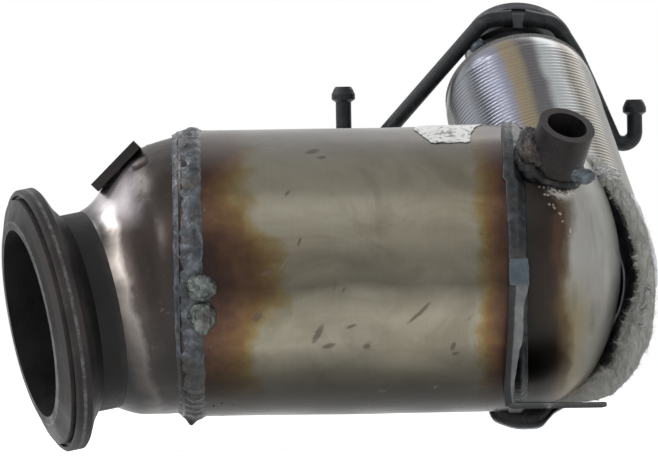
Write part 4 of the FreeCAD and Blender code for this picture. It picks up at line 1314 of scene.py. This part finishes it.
# torn scrap of paper over the top of the can
def makeLabel(left, right, topAngle, lowAngle, lift, ragged):
    columns, rows = 90, 40
    left, right = spline(left, 20), spline(right, 20)
    verts = []
    for layer in (0.42, 0.16):
        for r in range(rows):
            v = r / (rows - 1)
            leftX, rightX = edgeAt(left, v), edgeAt(right, v)
            for c in range(columns):
                u = c / (columns - 1)
                x = lerp(leftX, rightX, u) + ragged * ruffle((u * 3, v * 16, 2), 2.2, 4) * (1 - 2 * u)
                angle = lerp(topAngle, lowAngle, v) + 0.01 * ruffle((u * 18, 4, 7), 2.6, 4) * v
                raised = lift * abs(ruffle((x, angle * 40, 1), 7, 3))
                verts.append(roundCan(x, angle, canRadius + layer + raised))
    faces = flipped(sheetFaces(rows, columns, False))
    meshPiece("labelTorn", verts, faces, "paper", ["label_scrap"])


makeLabel(**label)
print("bracket, boss weld and label ready")

stage = {
    "floorHalf": 3.0, "floorGap": 0.0005, "floorTone": 0.86, "floorGlow": 0.85,
    # light from the surroundings, from straight below to straight above
    "sky": [(0.0, grey(0.16)), (0.42, grey(0.1)), (0.5, grey(0.03)), (0.62, grey(0.09)), (0.72, grey(0.28)),
            (1.0, grey(0.5))],
}


# 1 for what is looked at directly, mirrored or through glass
def seenDirectly(add):
    rays = add("ShaderNodeLightPath").outputs
    mirrored = maths(add, "MAXIMUM", rays["Is Camera Ray"], rays["Is Glossy Ray"])
    return maths(add, "MAXIMUM", mirrored, rays["Is Transmission Ray"])


def makeStage(floorHalf, floorGap, floorTone, floorGlow, sky):
    mesh = bpy.data.meshes.new("floor")
    low = cadBox[0][2] - floorGap
    corners = [(x * floorHalf, y * floorHalf, low) for x, y in ((-1, -1), (1, -1), (1, 1), (-1, 1))]
    mesh.from_pydata(corners, [], [(0, 1, 2, 3)])
    floor = bpy.data.objects.new("floor", mesh)
    bpy.context.scene.collection.objects.link(floor)
    material, add = newMaterial("floorWhite")[:2]
    surface(add, Base_Color=rgb(floorTone, floorTone, floorTone), Roughness=0.9,
            Emission_Color=rgb(1, 1, 1), Emission_Strength=times(add, seenDirectly(add), floorGlow))
    mesh.materials.append(material)

    world = bpy.data.worlds.new("studio")
    bpy.context.scene.world = world
    world.use_nodes = True
    world.node_tree.nodes.clear()
    add = adder(world.node_tree)
    up = axisOf(add, add("ShaderNodeTexCoord").outputs["Generated"], "Z")
    soft = ramp(add, plus(add, times(add, up, 0.5), 0.5), sky)
    colour = mixed(add, seenDirectly(add), soft, rgb(1, 1, 1))
    back = add("ShaderNodeBackground", {"Color": colour, "Strength": 1.0})
    add("ShaderNodeOutputWorld", {"Surface": back.outputs[0]})


makeStage(**stage)

middle = (0.125, 0.03, 0.03)
inletSide = (0.035, -0.02, 0.05)
# place, what it points at, width and height, all in m, and power in W
lamps = {
    "softAbove": {"place": (0.0, -0.75, 0.95), "aim": middle, "size": (1.3, 0.5), "power": 1.5},
    "softBelow": {"place": (0.15, -1.0, -0.06), "aim": middle, "size": (1.4, 0.26), "power": 0.8},
    "keyLeft": {"place": (-0.75, -0.9, 0.75), "aim": (0.04, -0.03, 0.05), "size": (0.3, 0.3), "power": 5.5},
    "rimBack": {"place": (0.6, 0.9, 0.8), "aim": middle, "size": (0.8, 0.8), "power": 3},
    "glintLeft": {"place": (-0.5, 0.22, 0.65), "aim": inletSide, "size": (0.22, 0.22), "power": 2.4},
}


def areaLight(name, place, aim, size, power):
    light = bpy.data.lights.new(name, "AREA")
    light.shape = "RECTANGLE"
    light.size, light.size_y = size
    light.energy = power
    lamp = bpy.data.objects.new(name, light)
    lamp.location = place
    lamp.rotation_euler = (Vector(aim) - Vector(place)).to_track_quat("-Z", "Y").to_euler()
    bpy.context.scene.collection.objects.link(lamp)


for name, lamp in lamps.items():
    areaLight(name, **lamp)

view = {"distance": 6.0, "frameWidth": 0.2725, "x": 0.1243, "y": 0.014, "z": 0.0366, "roll": 0.95}


# far away with a long lens, level with the object
def makeCamera(distance, frameWidth, x, y, z, roll):
    data = bpy.data.cameras.new("camera")
    data.lens = data.sensor_width * distance / frameWidth
    data.clip_end = 50
    camera = bpy.data.objects.new("camera", data)
    camera.location = (x, y - distance, z)
    camera.rotation_euler = (math.radians(90), math.radians(roll), 0)
    bpy.context.scene.collection.objects.link(camera)
    bpy.context.scene.camera = camera


makeCamera(**view)
bpy.context.scene.view_settings.view_transform = "Standard"
print("stage ready")
